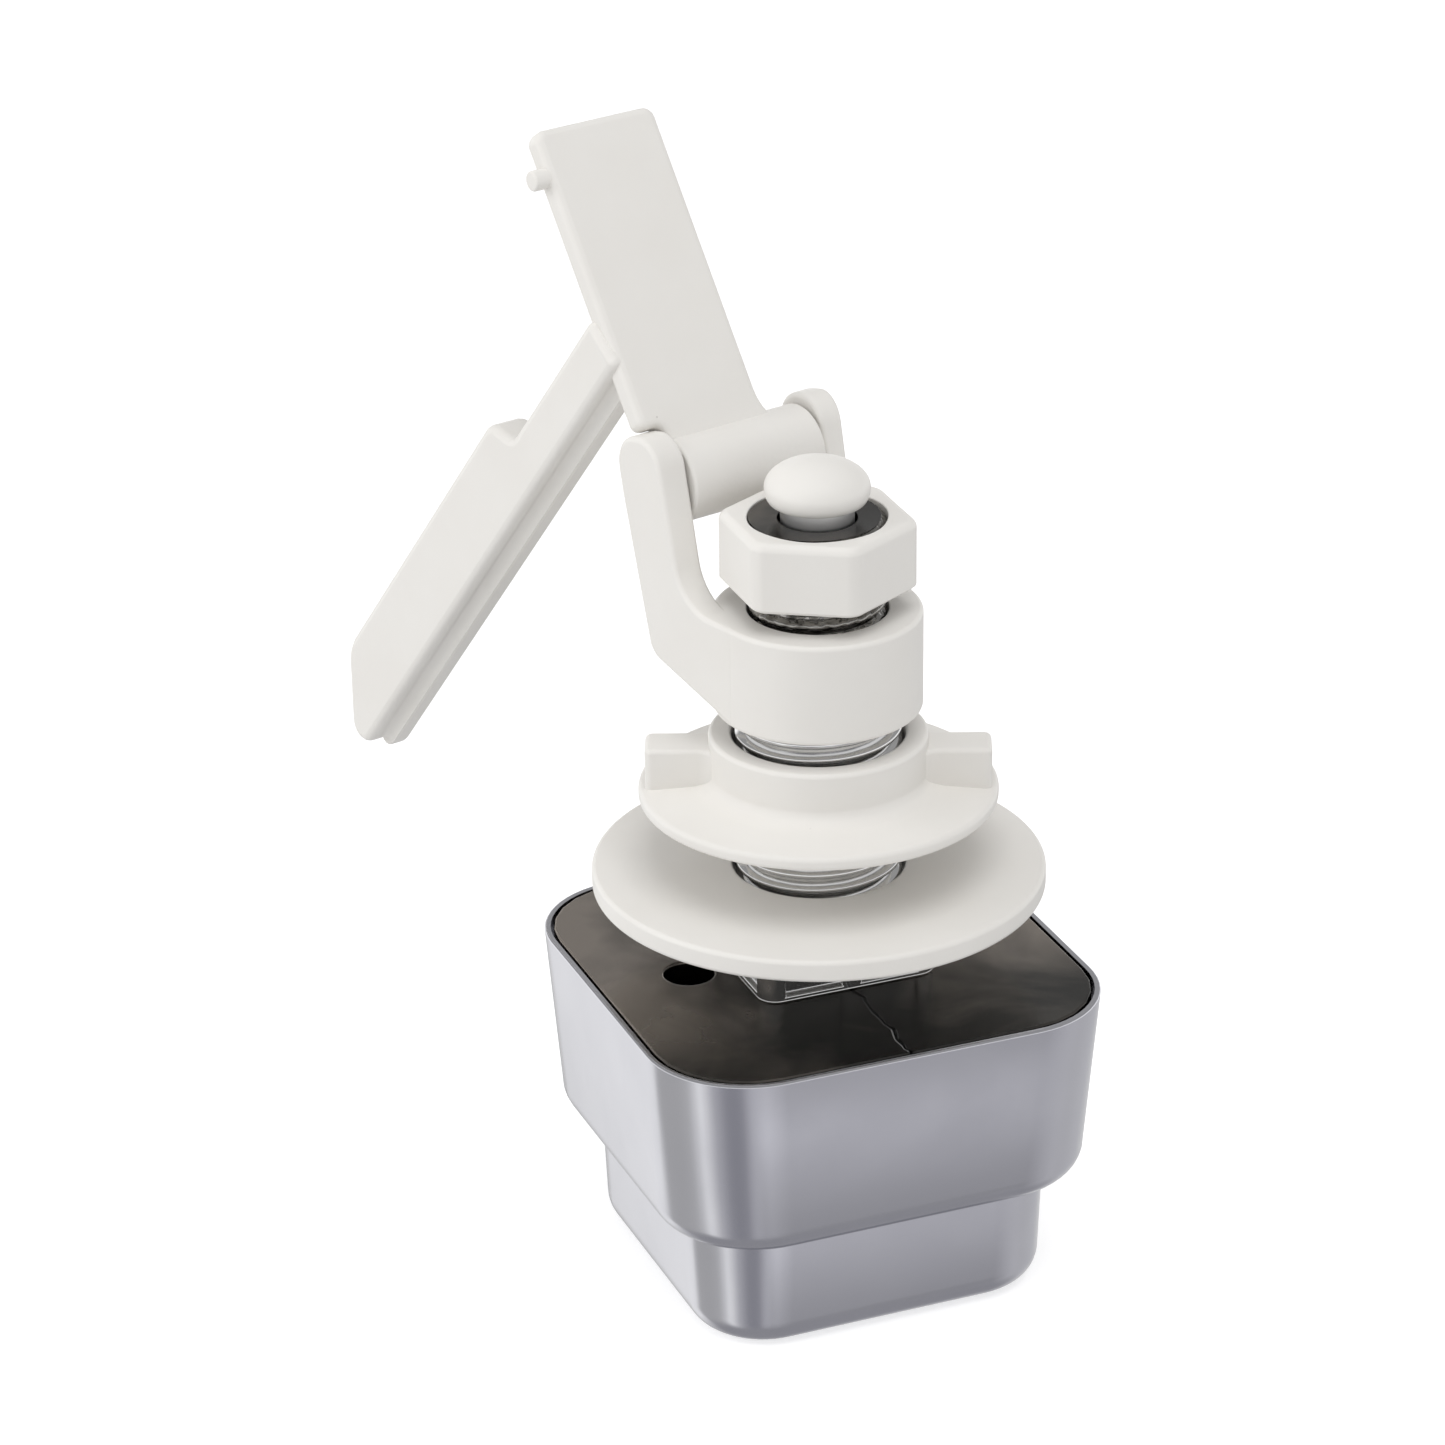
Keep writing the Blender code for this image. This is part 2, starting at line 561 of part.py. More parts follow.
def paddle_outline():
    # The paddle in plan: local X across, local Y out from the hinge.
    tip = PADDLE_LENGTH
    ear_clear = EAR_REACH + PADDLE_EAR_GAP
    left, right = -PADDLE_LEFT, PADDLE_RIGHT
    flare = BARREL_HALF - PADDLE_RIGHT
    outline = [(-BARREL_HALF, 0), (BARREL_HALF, 0)]
    outline += arc((BARREL_HALF, PADDLE_FLARE + BARREL_RADIUS / 2), flare, -math.pi / 2, -math.pi,
                   CORNER_STEPS)
    outline += arc((right - PADDLE_CORNER, tip - PADDLE_CORNER), PADDLE_CORNER, 0, math.pi / 2,
                   FILLET_STEPS)
    outline += arc((left + PADDLE_CORNER, tip - PADDLE_CORNER), PADDLE_CORNER, math.pi / 2, math.pi,
                   FILLET_STEPS)
    outline += [(left, ear_clear), (-BARREL_HALF, ear_clear)]
    return outline


def output_frame(points):
    # Points given along and across the output arm, placed in the lever's side view (Y, Z).
    along = Vector((math.cos(OUTPUT_ANGLE), math.sin(OUTPUT_ANGLE)))
    across = Vector((-along.y, along.x))
    return [tuple(Vector((OUTPUT_ROOT, 0)) + along * s + across * w) for s, w in points]


def build_lever(material, parent):
    # A bell crank: barrel with trunnions, flat paddle with a peg, and a ribbed output arm.
    lever = add_object("lever", cylinder(BARREL_RADIUS, -BARREL_HALF, BARREL_HALF, "X"), material)
    lever.parent = parent
    lever.location = (0, HINGE_BACK, HINGE_Z)
    lever.rotation_euler = (LEVER_TILT, 0, 0)
    back = PADDLE_FACE - PADDLE_THICK
    paddle = prism(paddle_outline(), back, PADDLE_FACE, "XYZ")
    combine(lever, add_tool("paddle_form", paddle), "UNION")
    reach = BARREL_HALF + TRUNNION_LENGTH
    combine(lever, add_tool("trunnion_form", cylinder(TRUNNION_RADIUS, -reach, reach, "X")), "UNION")
    root = back - PADDLE_FACE
    top_end = OUTPUT_LENGTH - OUTPUT_END_SLANT
    bar_line = output_frame([(root, RIB_HEIGHT), (OUTPUT_LENGTH, RIB_HEIGHT), (top_end, OUTPUT_HEIGHT),
                             (OUTPUT_NECK_LENGTH + OUTPUT_STEP_RUN, OUTPUT_HEIGHT),
                             (OUTPUT_NECK_LENGTH, OUTPUT_NECK_HEIGHT), (root, OUTPUT_NECK_HEIGHT)])
    left = -PADDLE_LEFT
    right = left + OUTPUT_BAR_WIDTH
    bar = prism(bar_line, left, right, "YZX", OUTPUT_BAR_ROUND)
    combine(lever, add_tool("bar_form", bar), "UNION")
    rib_end = OUTPUT_LENGTH - RIB_SHORTER
    rib_line = output_frame([(0, 0), (rib_end, 0), (OUTPUT_LENGTH - OUTPUT_BAR_ROUND * 2, RIB_HEIGHT / 2),
                             (OUTPUT_LENGTH - OUTPUT_BAR_ROUND * 2, RIB_HEIGHT + OUTPUT_BAR_ROUND * 2),
                             (0, RIB_HEIGHT + OUTPUT_BAR_ROUND)])
    rib = prism(rib_line, right - RIB_INSET - RIB_WIDTH, right - RIB_INSET, "YZX")
    combine(lever, add_tool("rib_form", rib), "UNION")
    peg = cylinder(PEG_RADIUS, left - PEG_LENGTH, left + SMALL_OVERLAP, "X",
                   centre=(0, PADDLE_LENGTH - PEG_FROM_TIP, PADDLE_FACE - PADDLE_THICK / 2))
    combine(lever, add_tool("peg_form", peg), "UNION")
    return lever


for old in list(bpy.data.objects):
    bpy.data.objects.remove(old, do_unlink=True)

chrome = make_material("satin_chrome", (0.62, 0.62, 0.64), 0.22, 1.0)
dark_chrome = make_material("dark_chrome", (0.10, 0.10, 0.10), 0.15, 1.0)
steel = make_material("spring_steel", (0.45, 0.45, 0.46), 0.35, 1.0)
white_names = ("head_white", "washer_white", "nut_white", "bracket_white", "lock_nut_white", "lever_white")
whites = {name: make_material(name, (0.76, 0.75, 0.73), 0.45, 0.0) for name in white_names}
button_chrome = make_material("button_chrome", (0.64, 0.64, 0.66), 0.22, 1.0)
rod_chrome = make_material("rod_chrome", (0.70, 0.70, 0.70), 0.20, 1.0)

bracket_frame = bpy.data.objects.new("bracket_frame", None)
bracket_frame.rotation_euler = (0, 0, BRACKET_TURN)
bpy.context.scene.collection.objects.link(bracket_frame)

build_housing(chrome)
build_shank(dark_chrome)
push_button = build_button(button_chrome)
build_rod(rod_chrome, push_button)
build_head(whites["head_white"], push_button)
build_spring(steel, push_button)
build_washer(whites["washer_white"])
build_mounting_nut(whites["nut_white"])
build_bracket(whites["bracket_white"], bracket_frame)
build_lock_nut(whites["lock_nut_white"])
build_lever(whites["lever_white"], bracket_frame)
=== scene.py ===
# Looks of a square flush button for a toilet tank: plated housing, button and shank, white moulded fittings.
# All sizes below are in millimetres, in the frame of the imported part.
import math

import bmesh
import bpy
from mathutils import Matrix, Vector


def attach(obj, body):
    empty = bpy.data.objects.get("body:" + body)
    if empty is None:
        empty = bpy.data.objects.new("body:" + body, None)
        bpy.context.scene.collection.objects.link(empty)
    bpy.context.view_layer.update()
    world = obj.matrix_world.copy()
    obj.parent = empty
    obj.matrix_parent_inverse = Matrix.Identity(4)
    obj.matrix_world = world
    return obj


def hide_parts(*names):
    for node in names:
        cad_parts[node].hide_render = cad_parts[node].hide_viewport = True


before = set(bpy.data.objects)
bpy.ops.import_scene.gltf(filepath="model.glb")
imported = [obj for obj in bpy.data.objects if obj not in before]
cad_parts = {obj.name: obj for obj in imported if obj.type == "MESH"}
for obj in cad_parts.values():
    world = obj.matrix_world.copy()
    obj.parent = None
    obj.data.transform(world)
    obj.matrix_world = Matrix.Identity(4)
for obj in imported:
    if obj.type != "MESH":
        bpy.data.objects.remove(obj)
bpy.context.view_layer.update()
mm = 0.001
print("frame loaded:", len(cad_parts), "nodes")


def fromHex(code):
    # an sRGB hex colour as linear light
    parts = [int(code[i:i + 2], 16) / 255 for i in (1, 3, 5)]
    return (*[p / 12.92 if p <= 0.04045 else ((p + 0.055) / 1.055) ** 2.4 for p in parts], 1.0)


def put(tree, kind, inputs=None, **settings):
    # adds one node; an input is either a value or another node's output
    made = tree.nodes.new("ShaderNode" + kind)
    for key, value in settings.items():
        setattr(made, key, value)
    for key, value in (inputs or {}).items():
        if isinstance(value, bpy.types.NodeSocket):
            tree.links.new(value, made.inputs[key])
        else:
            made.inputs[key].default_value = value
    return made


def startMaterial(name):
    material = bpy.data.materials.new(name)
    material.use_nodes = True
    tree = material.node_tree
    return material, tree, tree.nodes["Principled BSDF"], put(tree, "TexCoord").outputs["Object"]


def setRamp(node, stops):
    # colour stops of a ramp, given as (place, hex)
    ramp = node.color_ramp
    while len(ramp.elements) < len(stops):
        ramp.elements.new(0.5)
    for element, (place, code) in zip(ramp.elements, stops):
        element.position, element.color = place, fromHex(code)


# white polypropylene, injection moulded: soft half-gloss with faint cloudiness, fine grain and a few dark specks
whiteSpec = {"colour": "#EEECE8", "cloud": "#E8E5E0", "cloudSize": 9.0, "speck": "#8C857C", "speckSize": 2.6,
             "speckEdge": (0.018, 0.045), "speckRare": (0.90, 0.94), "grainSize": 0.35, "grainDepth": 0.012,
             "grainStrength": 0.6, "waveSize": 5.0, "waveDepth": 0.03, "roughness": 0.42, "roughnessSpread": 0.12}


def makeWhite(spec):
    material, tree, shader, place = startMaterial("mouldedPolypropylene")
    cloud = put(tree, "TexNoise", {"Vector": place, "Scale": 1 / (spec["cloudSize"] * mm), "Detail": 3.0})
    tint = put(tree, "Mix", {"Factor": cloud.outputs["Fac"], "A": fromHex(spec["colour"]), "B": fromHex(spec["cloud"])},
               data_type="RGBA")
    cells = put(tree, "TexVoronoi", {"Vector": place, "Scale": 1 / (spec["speckSize"] * mm)})
    near = put(tree, "MapRange", {"Value": cells.outputs["Distance"], "From Min": spec["speckEdge"][0],
                                  "From Max": spec["speckEdge"][1], "To Min": 1.0, "To Max": 0.0})
    rare = put(tree, "MapRange", {"Value": cells.outputs["Color"], "From Min": spec["speckRare"][0],
                                  "From Max": spec["speckRare"][1]})
    speck = put(tree, "Math", {0: near.outputs["Result"], 1: rare.outputs["Result"]}, operation="MULTIPLY")
    colour = put(tree, "Mix", {"Factor": speck.outputs["Value"], "A": tint.outputs["Result"],
                               "B": fromHex(spec["speck"])}, data_type="RGBA")
    tree.links.new(colour.outputs["Result"], shader.inputs["Base Color"])
    gloss = put(tree, "MapRange", {"Value": cloud.outputs["Fac"],
                                   "To Min": spec["roughness"] - spec["roughnessSpread"] / 2,
                                   "To Max": spec["roughness"] + spec["roughnessSpread"] / 2})
    tree.links.new(gloss.outputs["Result"], shader.inputs["Roughness"])
    wave = put(tree, "TexNoise", {"Vector": place, "Scale": 1 / (spec["waveSize"] * mm), "Detail": 1.0})
    grain = put(tree, "TexNoise", {"Vector": place, "Scale": 1 / (spec["grainSize"] * mm), "Detail": 2.0})
    soft = put(tree, "Bump", {"Height": wave.outputs["Fac"], "Distance": spec["waveDepth"] * mm, "Strength": 1.0})
    fine = put(tree, "Bump", {"Height": grain.outputs["Fac"], "Distance": spec["grainDepth"] * mm,
                              "Strength": spec["grainStrength"], "Normal": soft.outputs["Normal"]})
    tree.links.new(fine.outputs["Normal"], shader.inputs["Normal"])
    return material


# satin chrome on moulded plastic: greyish mirror, a little cool, softened by a fine matt and slightly wavy
satinSpec = {"colour": "#D3D3D8", "shade": "#C9C9CF", "hazeSize": 7.0, "waveSize": 11.0, "waveDepth": 0.05,
             "roughness": 0.2, "roughnessSpread": 0.06, "crown": (0.0022, 0.0022, 0.0085), "crownMiddle": 20.5}
# the same satin chrome on the button, whose lower walls bulge round another middle
buttonSpec = {**satinSpec, "crown": (0.0022, 0.0022, 0.009), "crownMiddle": 9.0}
# bright chrome on the neck and the lower thread: the same plating, unmatted
brightSpec = {"colour": "#DADADA", "shade": "#C8C8C8", "hazeSize": 3.0, "waveSize": 2.5, "waveDepth": 0.03,
              "roughness": 0.1, "roughnessSpread": 0.05, "crown": (0, 0, 0), "crownMiddle": 0}
# worn chrome on the sliding rod: silver, rubbed matt
rodSpec = {**brightSpec, "colour": "#E6E6E6", "shade": "#D8D8D8", "roughness": 0.42}
# chrome on the upper thread: its dark colour is painted dark reflection, with broken silver streaks of painted
# highlight
paintedReflectionThreadSpec = {**brightSpec, "colour": "#1E1D1C", "shade": "#BCBAB6", "hazeSize": 0.9, "waveSize": 0.9, "waveDepth": 0.3}


def makeChrome(name, spec):
    material, tree, shader, place = startMaterial(name)
    haze = put(tree, "TexNoise", {"Vector": place, "Scale": 1 / (spec["hazeSize"] * mm), "Detail": 4.0})
    colour = put(tree, "Mix", {"Factor": haze.outputs["Fac"], "A": fromHex(spec["colour"]),
                               "B": fromHex(spec["shade"])}, data_type="RGBA")
    tree.links.new(colour.outputs["Result"], shader.inputs["Base Color"])
    shader.inputs["Metallic"].default_value = 1.0
    gloss = put(tree, "MapRange", {"Value": haze.outputs["Fac"],
                                   "To Min": spec["roughness"] - spec["roughnessSpread"] / 2,
                                   "To Max": spec["roughness"] + spec["roughnessSpread"] / 2})
    tree.links.new(gloss.outputs["Result"], shader.inputs["Roughness"])
    wave = put(tree, "TexNoise", {"Vector": place, "Scale": 1 / (spec["waveSize"] * mm), "Detail": 1.0})
    bump = put(tree, "Bump", {"Height": wave.outputs["Fac"], "Distance": spec["waveDepth"] * mm, "Strength": 1.0})
    # moulded walls bulge a little: the height falls as the square of the way from the wall's middle, in radians per mm
    way = put(tree, "VectorMath", {0: place, 1: (0, 0, spec["crownMiddle"] * mm)}, operation="SUBTRACT")
    square = put(tree, "VectorMath", {0: way.outputs["Vector"], 1: way.outputs["Vector"]}, operation="MULTIPLY")
    fall = put(tree, "VectorMath", {0: square.outputs["Vector"], 1: [-c / 2 / mm for c in spec["crown"]]},
               operation="DOT_PRODUCT")
    bulge = put(tree, "Bump", {"Height": fall.outputs["Value"], "Distance": 1.0, "Strength": 1.0,
                               "Normal": bump.outputs["Normal"]})
    tree.links.new(bulge.outputs["Normal"], shader.inputs["Normal"])
    return material


# chrome plating on the hidden back, glossy; its near-black colour is painted dark reflection, with brown-grey patches
# of painted lighter reflection and a ragged flow line
paintedReflectionPlateSpec = {"colour": "#4A4947", "paintedReflection": "#A89F96", "paintedReflectionSize": 12.0, "paintedReflectionBend": 0.6, "paintedReflectionFrom": 0.45,
            "sideFrom": 7.0, "sideTo": 19.0, "backFrom": -18.0, "backShare": 0.5,
            "line": "#0A0A0A", "lineWidth": 0.22, "lineWander": 0.7, "wanderSize": 3.0, "lineFront": -8.0,
            "lineDepth": -0.15, "roughnessLow": 0.14, "roughnessHigh": 0.34}


def makePaintedReflectionPlate(spec):
    material, tree, shader, place = startMaterial("chromePaintedReflectionPlate")
    cloud = put(tree, "TexNoise", {"Vector": place, "Scale": 1 / (spec["paintedReflectionSize"] * mm), "Detail": 5.0,
                                   "Distortion": spec["paintedReflectionBend"]})
    apart = put(tree, "SeparateXYZ", {"Vector": place})
    out = put(tree, "Math", {0: apart.outputs["X"]}, operation="ABSOLUTE")
    side = put(tree, "MapRange", {"Value": out.outputs["Value"], "From Min": spec["sideFrom"] * mm,
                                  "From Max": spec["sideTo"] * mm})
    back = put(tree, "MapRange", {"Value": apart.outputs["Y"], "From Min": spec["backFrom"] * mm, "From Max": 0.0,
                                  "To Max": spec["backShare"]})
    # painted lighter reflections gather towards the sides and the back
    lift = put(tree, "Math", {0: side.outputs["Result"], 1: back.outputs["Result"], 2: cloud.outputs["Fac"]},
               operation="MULTIPLY_ADD")
    # the ramp runs from the base colour, painted dark reflection, to the painted lighter reflection
    paintedReflection = put(tree, "ValToRGB", {"Fac": lift.outputs["Value"]})
    setRamp(paintedReflection, [(spec["paintedReflectionFrom"], spec["colour"]), (1.0, spec["paintedReflection"])])
    wander = put(tree, "TexNoise", {"Vector": place, "Scale": 1 / (spec["wanderSize"] * mm), "Detail": 2.0})
    drift = put(tree, "MapRange", {"Value": wander.outputs["Fac"], "To Min": -spec["lineWander"] * mm,
                                   "To Max": spec["lineWander"] * mm})
    across = put(tree, "Math", {0: apart.outputs["X"], 1: drift.outputs["Result"]}, operation="ADD")
    off = put(tree, "Math", {0: across.outputs["Value"]}, operation="ABSOLUTE")
    line = put(tree, "MapRange", {"Value": off.outputs["Value"], "From Min": spec["lineWidth"] / 2 * mm,
                                  "From Max": spec["lineWidth"] * mm, "To Min": 1.0, "To Max": 0.0})
    front = put(tree, "Math", {0: apart.outputs["Y"], 1: spec["lineFront"] * mm}, operation="LESS_THAN")
    mark = put(tree, "Math", {0: line.outputs["Result"], 1: front.outputs["Value"]}, operation="MULTIPLY")
    colour = put(tree, "Mix", {"Factor": mark.outputs["Value"], "A": paintedReflection.outputs["Color"],
                               "B": fromHex(spec["line"])}, data_type="RGBA")
    tree.links.new(colour.outputs["Result"], shader.inputs["Base Color"])
    shader.inputs["Metallic"].default_value = 1.0
    gloss = put(tree, "MapRange", {"Value": cloud.outputs["Fac"], "To Min": spec["roughnessLow"],
                                   "To Max": spec["roughnessHigh"]})
    tree.links.new(gloss.outputs["Result"], shader.inputs["Roughness"])
    bump = put(tree, "Bump", {"Height": mark.outputs["Value"], "Distance": spec["lineDepth"] * mm, "Strength": 1.0})
    tree.links.new(bump.outputs["Normal"], shader.inputs["Normal"])
    return material


# drawn spring steel: mid grey wire with fine die lines
springSpec = {"colour": "#B2B2B4", "shade": "#8F8F92", "lineSize": 0.25, "roughness": 0.3}


def makeSteel(spec):
    material, tree, shader, place = startMaterial("drawnSpringSteel")
    lines = put(tree, "TexNoise", {"Vector": place, "Scale": 1 / (spec["lineSize"] * mm), "Detail": 2.0})
    colour = put(tree, "Mix", {"Factor": lines.outputs["Fac"], "A": fromHex(spec["colour"]),
                               "B": fromHex(spec["shade"])}, data_type="RGBA")
    tree.links.new(colour.outputs["Result"], shader.inputs["Base Color"])
    shader.inputs["Metallic"].default_value = 1.0
    shader.inputs["Roughness"].default_value = spec["roughness"]
    return material


whitePlastic = makeWhite(whiteSpec)
satinChrome = makeChrome("satinChromePlate", satinSpec)
buttonChrome = makeChrome("buttonChromePlate", buttonSpec)
brightChrome = makeChrome("brightChromePlate", brightSpec)
rodChrome = makeChrome("rodChromePlate", rodSpec)
paintedReflectionThreadChrome = makeChrome("threadChromePaintedReflection", paintedReflectionThreadSpec)
paintedReflectionChrome = makePaintedReflectionPlate(paintedReflectionPlateSpec)
springSteel = makeSteel(springSpec)
print("materials made")


def addPiece(name, bm, body, nodes, materials, sharp=35):
    # the finished mesh becomes a piece that moves with its body and stands for its nodes
    mesh = bpy.data.meshes.new(name)
    bm.to_mesh(mesh)
    bm.free()
    mesh.shade_smooth()
    mesh.set_sharp_from_angle(angle=math.radians(sharp))
    for material in materials:
        mesh.materials.append(material)
    piece = bpy.data.objects.new(name, mesh)
    bpy.context.scene.collection.objects.link(piece)
    even = piece.modifiers.new("evenShading", "WEIGHTED_NORMAL")
    even.keep_sharp = True
    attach(piece, body)
    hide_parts(*nodes)


def roundCorners(bm, verts, rounds, segments=8):
    # rounds the corners of a flat outline; rounds gives each corner's set-back, 0 for none
    for size in sorted(set(rounds) - {0}):
        chosen = [vert for vert, r in zip(verts, rounds) if r == size]
        bmesh.ops.bevel(bm, geom=chosen, offset=size * mm, segments=segments, profile=0.5, affect="VERTICES",
                        material=-1)


def softenEdges(bm, width, angle=40, segments=3, edges=None):
    sharp = [e for e in (edges or bm.edges) if e.is_manifold and e.calc_face_angle() > math.radians(angle)]
    bmesh.ops.bevel(bm, geom=sharp, offset=width * mm, segments=segments, profile=0.5, affect="EDGES", material=-1,
                    clamp_overlap=False)


def turned(outline, rounds, steps):
    # spins a closed outline of (radius, height) about the shank's axis
    bm = bmesh.new()
    verts = [bm.verts.new((r * mm, 0, z * mm)) for r, z in outline]
    bm.faces.new(verts)
    roundCorners(bm, verts, rounds)
    bmesh.ops.delete(bm, geom=bm.faces[:], context="FACES_ONLY")
    bmesh.ops.delete(bm, geom=[e for e in bm.edges if all(v.co.x < 1e-7 for v in e.verts)], context="EDGES")
    bmesh.ops.spin(bm, geom=bm.verts[:] + bm.edges[:], axis=(0, 0, 1), cent=(0, 0, 0), angle=math.tau, steps=steps,
                   use_merge=True)
    bmesh.ops.remove_doubles(bm, verts=bm.verts, dist=1e-7)
    bmesh.ops.recalc_face_normals(bm, faces=bm.faces)
    return bm


def slab(outline, rounds, low, high, plane, edge):
    # a flat outline pushed through its thickness; plane "XY" pushes along Z, "YZ" along X
    bm = bmesh.new()
    if plane == "XY":
        verts = [bm.verts.new((a * mm, b * mm, low * mm)) for a, b in outline]
        push = Vector((0, 0, (high - low) * mm))
    else:
        verts = [bm.verts.new((low * mm, a * mm, b * mm)) for a, b in outline]
        push = Vector(((high - low) * mm, 0, 0))
    bm.faces.new(verts)
    roundCorners(bm, verts, rounds)
    grown = bmesh.ops.extrude_face_region(bm, geom=bm.faces[:])
    bmesh.ops.translate(bm, verts=[g for g in grown["geom"] if isinstance(g, bmesh.types.BMVert)], vec=push)
    bmesh.ops.recalc_face_normals(bm, faces=bm.faces)
    softenEdges(bm, edge)
    flats, border = [f for f in bm.faces if len(f.verts) > 8], 0.06
    bmesh.ops.inset_individual(bm, faces=flats, thickness=border * mm)  # a narrow border keeps the flats evenly shaded
    return bm


def gather(*meshes):
    # several closed bodies in one mesh
    whole = bmesh.new()
    for bm in meshes:
        scratch = bpy.data.meshes.new("scratch")
        bm.to_mesh(scratch)
        bm.free()
        whole.from_mesh(scratch)
        bpy.data.meshes.remove(scratch)
    return whole


def copyNode(node):
    # a copy of a CAD node's mesh, its loose triangles merged into whole flats
    bm = bmesh.new()
    bm.from_mesh(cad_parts[node].data)
    bmesh.ops.remove_doubles(bm, verts=bm.verts, dist=0.002 * mm)
    bmesh.ops.dissolve_limit(bm, angle_limit=math.radians(1), verts=bm.verts[:], edges=bm.edges[:])
    return bm


def roundedLoop(bm, made, corner, segments=14):
    # rounds the corners of a flat face just made and keeps only its outline
    old = set(bm.edges) - {e for v in made["verts"] for e in v.link_edges}
    bmesh.ops.bevel(bm, geom=made["verts"], offset=corner * mm, segments=segments, profile=0.5, affect="VERTICES",
                    material=-1)
    bmesh.ops.delete(bm, geom=bm.faces[:], context="FACES_ONLY")
    return [e for e in bm.edges if e not in old]


def skin(bm, loops, closed):
    # joins a row of loops; an open row gets flat ends
    pairs = list(zip(loops, loops[1:]))
    if closed:
        pairs.append((loops[-1], loops[0]))
    for one, two in pairs:
        bmesh.ops.bridge_loops(bm, edges=one + two)
    if not closed:
        bmesh.ops.holes_fill(bm, edges=loops[0] + loops[-1], sides=0)
    bmesh.ops.recalc_face_normals(bm, faces=bm.faces)


def squareShell(rings, closed):
    # skins a row of rounded squares (side, corner, height)
    bm, loops = bmesh.new(), []
    for side, corner, height in rings:
        made = bmesh.ops.create_grid(bm, x_segments=1, y_segments=1, size=side / 2 * mm,
                                     matrix=Matrix.Translation((0, 0, height * mm)))
        loops.append(roundedLoop(bm, made, corner))
    skin(bm, loops, closed)
    return bm


def quarter(side, corner, height, radius, rise, drop, steps):
    # rings round a quarter-circle edge: side and corner shrink by the radius while the height changes by it
    rings = []
    for step in range(steps + 1):
        turn = step / steps * math.pi / 2
        inset = radius * (1 - math.cos(turn)) if drop else radius * (1 - math.sin(turn))
        lift = radius * math.sin(turn) if drop else radius * (1 - math.cos(turn))
        rings.append((side - 2 * inset, corner - inset, height + rise * lift))
    return rings


# housing: drafted square shell, soft front edge, thin rim standing round the back plate
housing = {"side": 45.9, "corner": 10.1, "back": 31.8, "front": 12.5, "taper": 1.1, "edge": 2.7, "flat": 0.3,
           "wall": 1.6, "lip": 2.0, "rim": 0.6, "rimRound": 0.25, "ledge": 29.5, "buttonCorner": 8.5,
           "hair": 0.08}


def makeHousing(spec):
    frontSide = spec["side"] - 2 * spec["taper"]
    opening = frontSide - 2 * (spec["edge"] + spec["flat"])
    cavity, cavityCorner = frontSide - 2 * spec["wall"], spec["corner"] - spec["wall"]
    seat, seatCorner = spec["side"] - 2 * spec["rim"], spec["corner"] - spec["rim"]
    lipTop = spec["front"] + spec["lip"]
    rimRings = quarter(spec["side"], spec["corner"], spec["back"] - spec["rimRound"], spec["rimRound"], 1, True, 4)
    rings = rimRings[::-1]
    rings += quarter(frontSide, spec["corner"], spec["front"] + spec["edge"], spec["edge"], -1, True, 14)
    hair = spec["hair"]  # rings on one level step by a hair, or they are joined across the opening
    rings += [(opening, spec["buttonCorner"], spec["front"] + hair), (opening, spec["buttonCorner"], lipTop),
              (cavity, cavityCorner, lipTop - hair), (cavity, cavityCorner, spec["ledge"]),
              (seat, seatCorner, spec["ledge"] - hair), (seat, seatCorner, spec["back"] - hair)]
    addPiece("housingShell", squareShell(rings, True), "base", ["housing"], [satinChrome])


makeHousing(housing)

# press button: hollow square cap with a rounded front, held behind the housing's lip
button = {"side": 37.1, "corner": 8.2, "draft": 0.5, "edge": 3.0, "wall": 1.8, "lipSide": 39.9, "lipCorner": 8.2,
          "lipLow": 14.8, "top": 16.6, "bossRadius": 5.3, "bossTop": 12.8, "bossSunk": 0.3,
          "bossRounds": (0.3, 0.5), "seatRadius": 3.8, "seatLow": 3.3}


def makeButton(spec):
    front, frontCorner = spec["side"] - 2 * spec["draft"], spec["corner"] - spec["draft"]
    rings = quarter(front, frontCorner, 0, spec["edge"], 1, False, 14)
    rings += [(spec["side"], spec["corner"], spec["lipLow"]), (spec["lipSide"], spec["lipCorner"], spec["lipLow"]),
              (spec["lipSide"], spec["lipCorner"], spec["top"]),
              (spec["side"] - 2 * spec["wall"], spec["corner"] - spec["wall"], spec["top"]),
              (front - 2 * spec["wall"], frontCorner - spec["wall"], spec["edge"]),
              (front - 2 * spec["edge"], frontCorner - spec["edge"], spec["wall"])]
    bossLow = spec["wall"] - spec["bossSunk"]
    boss = turned([(spec["seatRadius"], spec["seatLow"]), (spec["seatRadius"], spec["bossTop"]),
                   (spec["bossRadius"], spec["bossTop"]), (spec["bossRadius"], bossLow), (0, bossLow),
                   (0, spec["seatLow"])], [0, *spec["bossRounds"], 0, 0, 0], 48)
    addPiece("buttonCap", gather(squareShell(rings, False), boss), "button", ["push_button"],
             [buttonChrome])


makeButton(button)
print("housing and button made")

# back plate with its neck, cut off the shank where the thread starts
plate = {"cut": 40.6, "edge": 0.22, "rimsAbove": 31.7, "brightAbove": 31.9}


